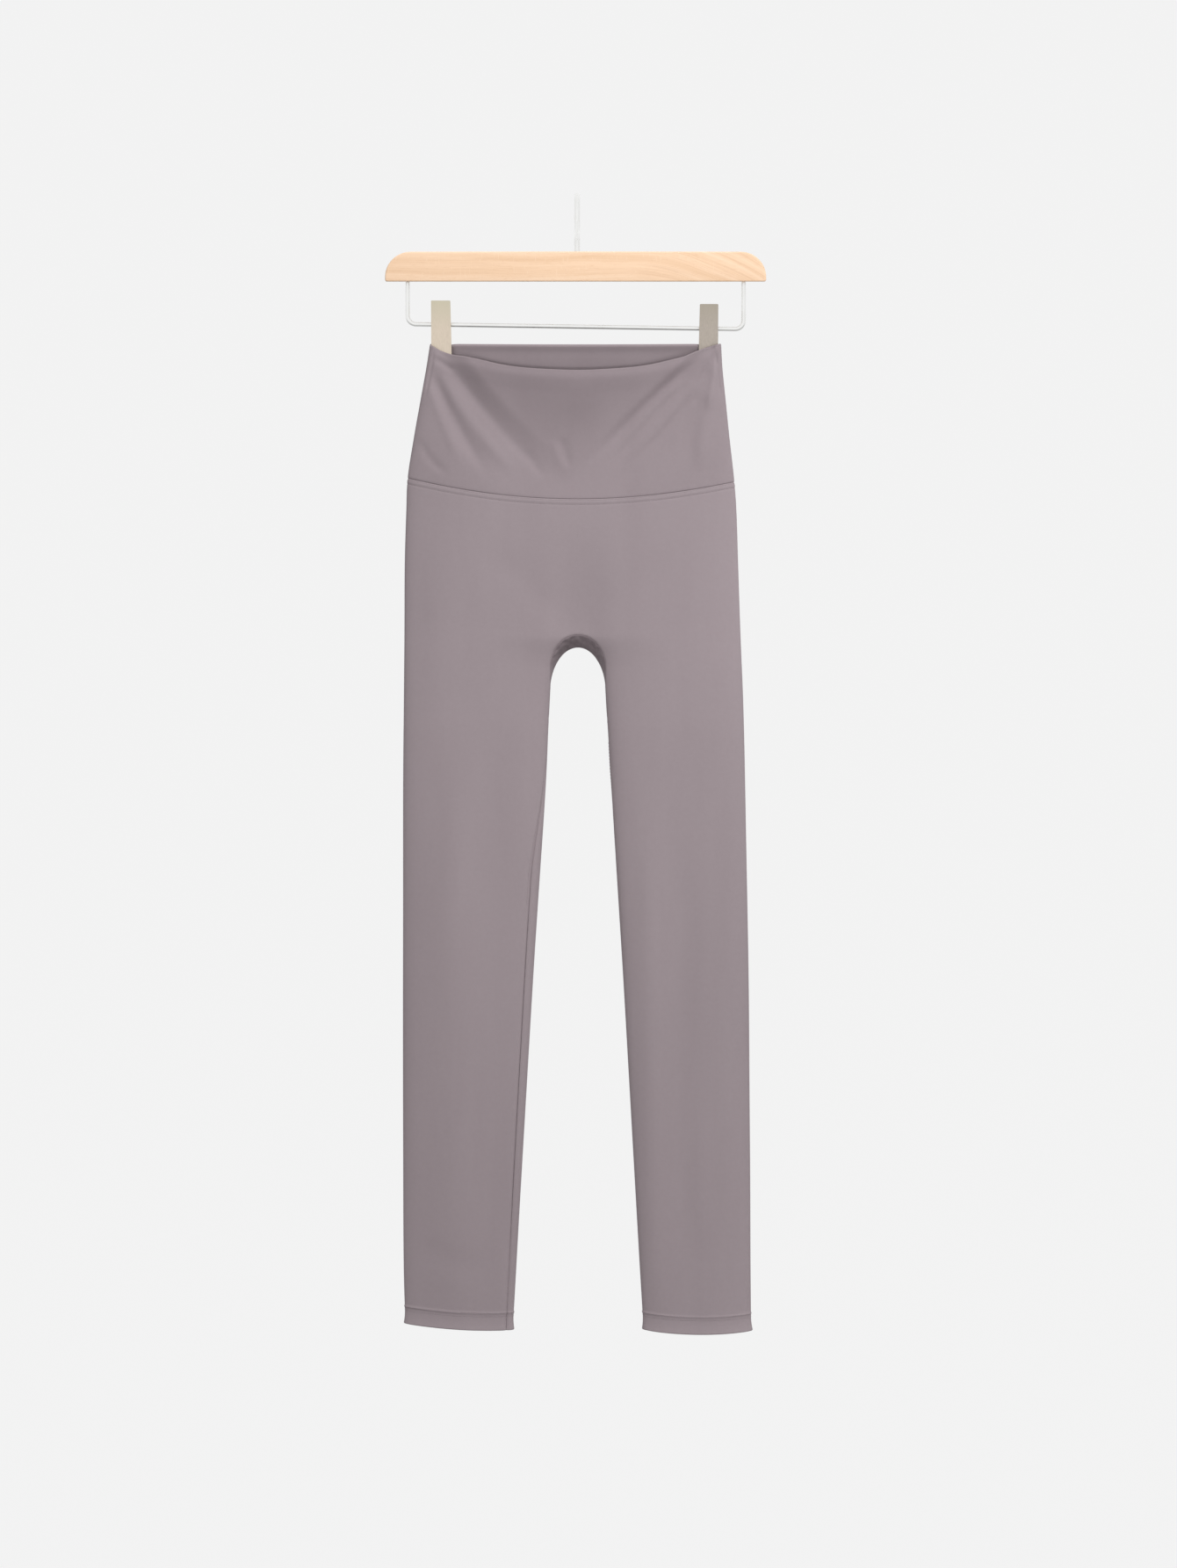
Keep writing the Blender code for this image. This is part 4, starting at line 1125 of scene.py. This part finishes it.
hemLines = []
for panel in (front, back):
    for away in (rows["hemLow"], rows["hemHigh"]):
        hemLines += rowLine(panel, hemRow - away / panelStops["hemRowHeight"])
hemStitches = makeStitches("hemStitches", hemLines)

inseamLines = []
for side in sides:
    stops = spread(tipRow + 0.5, tipRow + 4.5, 60)
    across = 1 - rows["inseam"] / panelStops["columnWidth"]
    inseamLines.append([panelPoint(front, side, row, across) for row in stops])
inseamStitches = makeStitches("inseamStitches", inseamLines)


# hanger bar
bar = {
    "ends": {left: -180.0, right: 177.2},
    "topCentre": 49.8,
    "topEnd": 50.1,
    "bottom": 78.5,
    "thickness": 12.0,
    "endRadius": 24.0,
    "lowerRadius": 2.0,
    "edge": 1.8,
    "backHeight": 0.9,  # the underside slopes up towards the back
}


def buildBar():
    shape = bmesh.new()
    half, ends = bar["thickness"] / 2, bar["ends"]
    corners = [(ends[left], bar["bottom"]), (ends[left], bar["topEnd"]), (0, bar["topCentre"]),
               (ends[right], bar["topEnd"]), (ends[right], bar["bottom"])]
    verts = [shape.verts.new(Vector((x, -half, -drop)) * mm) for x, drop in corners]
    shape.faces.new(verts)
    roundOff(shape, [verts[1], verts[3]], bar["endRadius"], 20, "VERTICES")
    lower = sorted(shape.verts, key=lambda vert: (round(vert.co.z, 6), -abs(vert.co.x)))[:2]
    roundOff(shape, lower, bar["lowerRadius"], 6, "VERTICES")
    grown = bmesh.ops.extrude_face_region(shape, geom=list(shape.faces))["geom"]
    moved = [item for item in grown if isinstance(item, bmesh.types.BMVert)]
    bmesh.ops.translate(shape, verts=moved, vec=Vector((0, bar["thickness"] * mm, 0)))
    bmesh.ops.scale(shape, verts=moved, vec=(1, 1, bar["backHeight"]),
                    space=Matrix.Translation((0, 0, bar["topCentre"] * mm)))
    bmesh.ops.recalc_face_normals(shape, faces=shape.faces)
    outline = [edge for edge in shape.edges
               if abs(edge.verts[0].co.y - edge.verts[1].co.y) < 1e-6 and edge.is_manifold]
    roundOff(shape, outline, bar["edge"], 5, "EDGES", clamp_overlap=True)
    return addPiece("beechBar", meshFrom("beechBar", shape, beech), "wood", "hanger_bar")


buildBar()


# hook and rail
wires = {
    "hook": 5.4,
    "ringRadius": 15.5,
    "ringStart": -65.0,
    "ringEnd": 205.0,
    "stemEnd": 62.0,
    "neckDrop": 9.5,
    "rail": 4.2,
    "railEnds": {left: -159.0, right: 156.2},
    "railDrops": {left: 117.3, right: 122.0},
    "railTop": 66.0,
    "railCorner": 8.0,
}


def makeWire(name, points, diameter, material, node):
    curve = bpy.data.curves.new(name, "CURVE")
    curve.dimensions = "3D"
    curve.bevel_depth = diameter / 2 * mm
    curve.bevel_resolution = 6
    curve.use_fill_caps = True
    spline = curve.splines.new("POLY")
    spline.points.add(len(points) - 1)
    for point, place in zip(spline.points, points):
        point.co = (*(Vector(place) * mm), 1.0)
    spline.use_smooth = True
    curve.materials.append(material)
    return addPiece(name, curve, "wire", node)


def buildHook():
    radius = wires["ringRadius"] + wires["hook"] / 2
    centre = -wires["ringRadius"]
    start, end = math.radians(wires["ringStart"]), math.radians(wires["ringEnd"])
    ringStart = Vector((radius * math.cos(start), centre + radius * math.sin(start)))
    tangent = Vector((-math.sin(start), math.cos(start)))
    stemTop = Vector((0, ringStart.y - wires["neckDrop"]))
    handles = (stemTop, stemTop + Vector((0, 4.5)), ringStart - tangent * 4.0, ringStart)
    points = [(0, 0, -wires["stemEnd"]), (0, 0, -bar["topCentre"])]
    for step in range(16):
        share, rest = step / 16, 1 - step / 16
        weights = (rest ** 3, 3 * rest ** 2 * share, 3 * rest * share ** 2, share ** 3)
        place = sum((handle * weight for handle, weight in zip(handles, weights)), Vector((0, 0)))
        points.append((0, place.x, place.y))
    for step in range(65):
        angle = mix(start, end, step / 64)
        points.append((0, radius * math.cos(angle), centre + radius * math.sin(angle)))
    return makeWire("wireHook", points, wires["hook"], wireSteel, "hanger_hook")


def buildRail():
    ends, drops, corner = wires["railEnds"], wires["railDrops"], wires["railCorner"]
    run = Vector((ends[right] - ends[left], 0, -(drops[right] - drops[left]))).normalized()
    points = []
    for side in sides:
        here = Vector((ends[side], 0, -drops[side]))
        before, after = Vector((0, 0, 1)), run * -side
        half = before.angle(after) / 2
        pivot = here + (before + after).normalized() * (corner / math.sin(half))
        start = here + before * (corner / math.tan(half)) - pivot
        end = here + after * (corner / math.tan(half)) - pivot
        arc = [pivot + start.slerp(end, step / 12) * corner for step in range(13)]
        points += arc if side == left else arc[::-1]
    leftTop, rightTop = (Vector((ends[side], 0, -wires["railTop"])) for side in sides)
    return makeWire("wireRail", [leftTop, *points, rightTop], wires["rail"], railSteel, "clip_rail")


buildHook()
buildRail()
print("hanger made")


# clips
clips = {
    "innerX": {left: -118.6, right: 114.9},
    "outerX": {left: -136.6, right: 132.1},
    "flare": 1.2,
    "backNarrower": 1.2,
    "top": {left: 96.4, right: 99.6},
    "bottom": {left: 152.4, right: 156.0},
    "corner": 0.9,
    "bend": 2.5,
    "metal": 1.2,
    "plateEdge": 0.25,
    "earEdge": 0.2,
    "earNose": 3.4,
    "earReach": 4.0,
    "earHalfHeight": 5.5,
    "topY": 9.4,
    "pivotY": 6.2,
    "padThickness": 1.0,
    "padHeight": 13.0,
    "padMargin": 2.0,
    "gap": 0.3,
}


def pivotDrop(side):
    # where the rail runs through the middle of a clip
    x = (clips["innerX"][side] + clips["outerX"][side]) / 2
    ends, drops = wires["railEnds"], wires["railDrops"]
    return mix(drops[left], drops[right], (x - ends[left]) / (ends[right] - ends[left]))


def softenEdges(piece, width):
    addModifier(piece, "edge", "BEVEL", width=width * mm, segments=2, limit_method="ANGLE",
                angle_limit=math.radians(50))


def clipProfile(panel, side):
    # side view of one plate down its inner face: y and drop
    jawY = garment["foldY"] + garment["cornerDepth"] - (cloth["band"] if panel == front else 0)
    jawY += panel * (2 * clips["gap"] + clips["padThickness"])
    bottom = clips["bottom"][side]
    jawStart = bottom - clips["padHeight"] - clips["padMargin"]
    return [(panel * (clips["topY"] - clips["metal"]), clips["top"][side]),
            (panel * (clips["pivotY"] - clips["metal"]), pivotDrop(side)),
            (jawY, jawStart), (jawY, bottom)]


def buildClipPlate(panel, side):
    # a bent strip whose corners, bends and edges are rounded
    name = "clip" + sideName(side).capitalize() + ("Front" if panel == front else "Back")
    profile = clipProfile(panel, side)
    shape = bmesh.new()
    made = bmesh.ops.create_grid(shape, x_segments=1, y_segments=3, size=1)["verts"]
    top, bottom = clips["top"][side], clips["bottom"][side]
    for vert in made:
        y, drop = profile[round((1 - vert.co.y) / 2 * 3)]
        share = (drop - top) / (bottom - top)
        inner = clips["innerX"][side] - side * clips["flare"] * share
        inner += side * clips["backNarrower"] * (panel == back)
        x = clips["outerX"][side] if vert.co.x < 0 else inner
        vert.co = Vector((x, y, -drop)) * mm
    corners = [vert for vert in shape.verts if len(vert.link_edges) == 2]
    roundOff(shape, corners, clips["corner"], 5, "VERTICES")
    bends = [edge for edge in shape.edges if not edge.is_boundary]
    roundOff(shape, bends, clips["bend"], 5, "EDGES")
    shape.normal_update()
    if sum(face.normal.y * panel for face in shape.faces) > 0:
        bmesh.ops.reverse_faces(shape, faces=shape.faces)
    node = "clip_" + sideName(side) + ("_front" if panel == front else "_back")
    piece = addPiece(name, meshFrom(name, shape, clipSteel[side]), "clip_metal", node)
    addModifier(piece, "metal", "SOLIDIFY", thickness=clips["metal"] * mm, offset=-1,
                use_even_offset=True)
    softenEdges(piece, clips["plateEdge"])


def buildClipEars(side):
    # two pairs of ears through which the rail runs
    name, pivot = "clip" + sideName(side).capitalize() + "Ears", pivotDrop(side)
    shape = bmesh.new()
    for panel in (front, back):
        stepIn = 0.0 if panel == front else clips["metal"] + clips["gap"]
        for edgeX, inward in ((clips["outerX"][side], -side), (clips["innerX"][side], side)):
            x = edgeX + inward * (stepIn + clips["metal"] / 2)
            low, high = -clips["earReach"] * panel, (clips["pivotY"] - clips["metal"] / 2) * panel
            size = Matrix.Diagonal((clips["metal"], abs(high - low), 2 * clips["earHalfHeight"], 1))
            put = Matrix.Translation((x, (low + high) / 2, -pivot)) @ size
            made = bmesh.ops.create_cube(shape, size=1.0, matrix=Matrix.Scale(mm, 4) @ put)["verts"]
            nose = [edge for vert in made for edge in vert.link_edges
                    if all(abs(end.co.y / mm - low) < 0.01 for end in edge.verts)
                    and abs(edge.verts[0].co.z - edge.verts[1].co.z) < 1e-6]
            roundOff(shape, list(set(nose)), clips["earNose"], 6, "EDGES")
    piece = addPiece(name, meshFrom(name, shape, clipSteel[side]), "clip_metal")
    softenEdges(piece, clips["earEdge"])


for side in sides:
    for panel in (front, back):
        buildClipPlate(panel, side)
    buildClipEars(side)
for name in ("pad_left_front", "pad_left_back", "pad_right_front", "pad_right_back"):
    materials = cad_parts[name].data.materials
    materials.clear()
    materials.append(gripPad)
print("clips made")


# studio: a wide pale cove, soft light from the upper right, and the camera
studio = {
    "backdrop": (242, 242, 242),
    "besideIt": (232, 232, 232),
    "besideStart": 2.0,  # metres from the middle at which the paper darkens towards the sides
    "coveRadius": 4.6,
    "coveBend": 0.9,
    "floor": -1.75,
    "wallTop": 1.9,
    "roofRise": 1.2,
    "roof": (238, 238, 238),
    "air": [(0.0, 0.12), (0.40, 0.19), (0.52, 0.64), (1.0, 0.70)],  # from straight down to up
    "lamps": {  # place, aim, size, power
        "keySoftbox": ((0.75, -1.6, 1.45), (0.0, 0.0, -0.35), 0.95, 35.1),
        "frontLamp": ((0.0, -2.9, -0.80), (0.0, 0.0, -0.5), 0.08, 12.6),
        "nearSoftbox": ((0.04, -0.45, -0.42), (0.0, 0.0, -0.52), 0.5, 0.34),
        "fillSoftbox": ((0.42, -0.32, -1.15), (0.12, 0.0, -1.0), 0.2, 0.25),
        "sideSoftbox": ((0.6, -0.08, -0.32), (0.13, 0.0, -0.26), 0.15, 0.5),
    },
    "cameraPlace": (0.0107, -3.0, -0.5487),
    "pictureHeight": 1.471,
}


def buildCove():
    # flat floor, round corner and upright wall, spun once round
    shape = bmesh.new()
    radius, floor, bend = studio["coveRadius"], studio["floor"], studio["coveBend"]
    profile = [Vector((0.0, 0.0, floor))]
    for step in range(13):
        angle = math.pi / 2 * step / 12
        profile.append(Vector((radius - bend + bend * math.sin(angle), 0,
                               floor + bend * (1 - math.cos(angle)))))
    profile += [Vector((radius, 0, studio["wallTop"])),
                Vector((0.0, 0.0, studio["wallTop"] + studio["roofRise"]))]
    verts = [shape.verts.new(point) for point in profile]
    edges = [shape.edges.new(pair) for pair in zip(verts, verts[1:])]
    bmesh.ops.spin(shape, geom=verts + edges, cent=(0, 0, 0), axis=(0, 0, 1), angle=math.tau,
                   steps=72, use_merge=True)
    bmesh.ops.remove_doubles(shape, verts=shape.verts, dist=1e-4)
    bmesh.ops.recalc_face_normals(shape, faces=shape.faces)
    mesh = meshFrom("studioCove", shape)
    cove = putInScene("studioCove", mesh)
    for name, colour in (("paperPale", studio["backdrop"]), ("roofPale", studio["roof"])):
        look = Look(name, tone(20, 20, 20), 1.0)
        aside = look.maths("ABSOLUTE", look.axes(look.place["Object"])[0])
        beside = look.limit(look.less(aside, studio["besideStart"]))
        glow = look.blend(beside, tone(*colour), tone(*studio["besideIt"]))
        look.finish({"Specular IOR Level": 0.0, "Emission Color": glow, "Emission Strength": 1.0})
        look.material.cycles.emission_sampling = "NONE"
        mesh.materials.append(look.material)
    for face in mesh.polygons:
        face.material_index = int(face.center.z > studio["wallTop"])
    cove.visible_diffuse = False
    cove.visible_shadow = False


def addSoftbox(name, place, aim, size, power):
    light = bpy.data.lights.new(name, "AREA")
    light.shape = "SQUARE"
    light.size = size
    light.energy = power
    lamp = putInScene(name, light)
    lamp.location = place
    lamp.rotation_euler = (Vector(aim) - Vector(place)).to_track_quat("-Z", "Y").to_euler()
    lamp.visible_camera = False
    lamp.visible_glossy = False


buildCove()
for name, values in studio["lamps"].items():
    addSoftbox(name, *values)
world = bpy.data.worlds.new("studioAir")
bpy.context.scene.world = world
air = NodeMaker(world)
upright = air.axes(air.nodes.new("ShaderNodeTexCoord").outputs["Generated"])[2]
brightness = air.ramp(air.maths("MULTIPLY_ADD", upright, 0.5, 0.5),
                      *((stop, grey(value)) for stop, value in studio["air"]))
air.give(air.nodes["Background"], {"Color": brightness})
bpy.context.scene.view_settings.view_transform = "Standard"

cameraData = bpy.data.cameras.new("camera")
camera = putInScene("camera", cameraData)
camera.location = studio["cameraPlace"]
camera.rotation_euler = (math.radians(90), 0, 0)
cameraData.sensor_width = 36.0
cameraData.lens = 36.0 * -studio["cameraPlace"][1] / studio["pictureHeight"]
cameraData.clip_end = 60.0
bpy.context.scene.camera = camera
print("studio made")

bpy.context.view_layer.update()
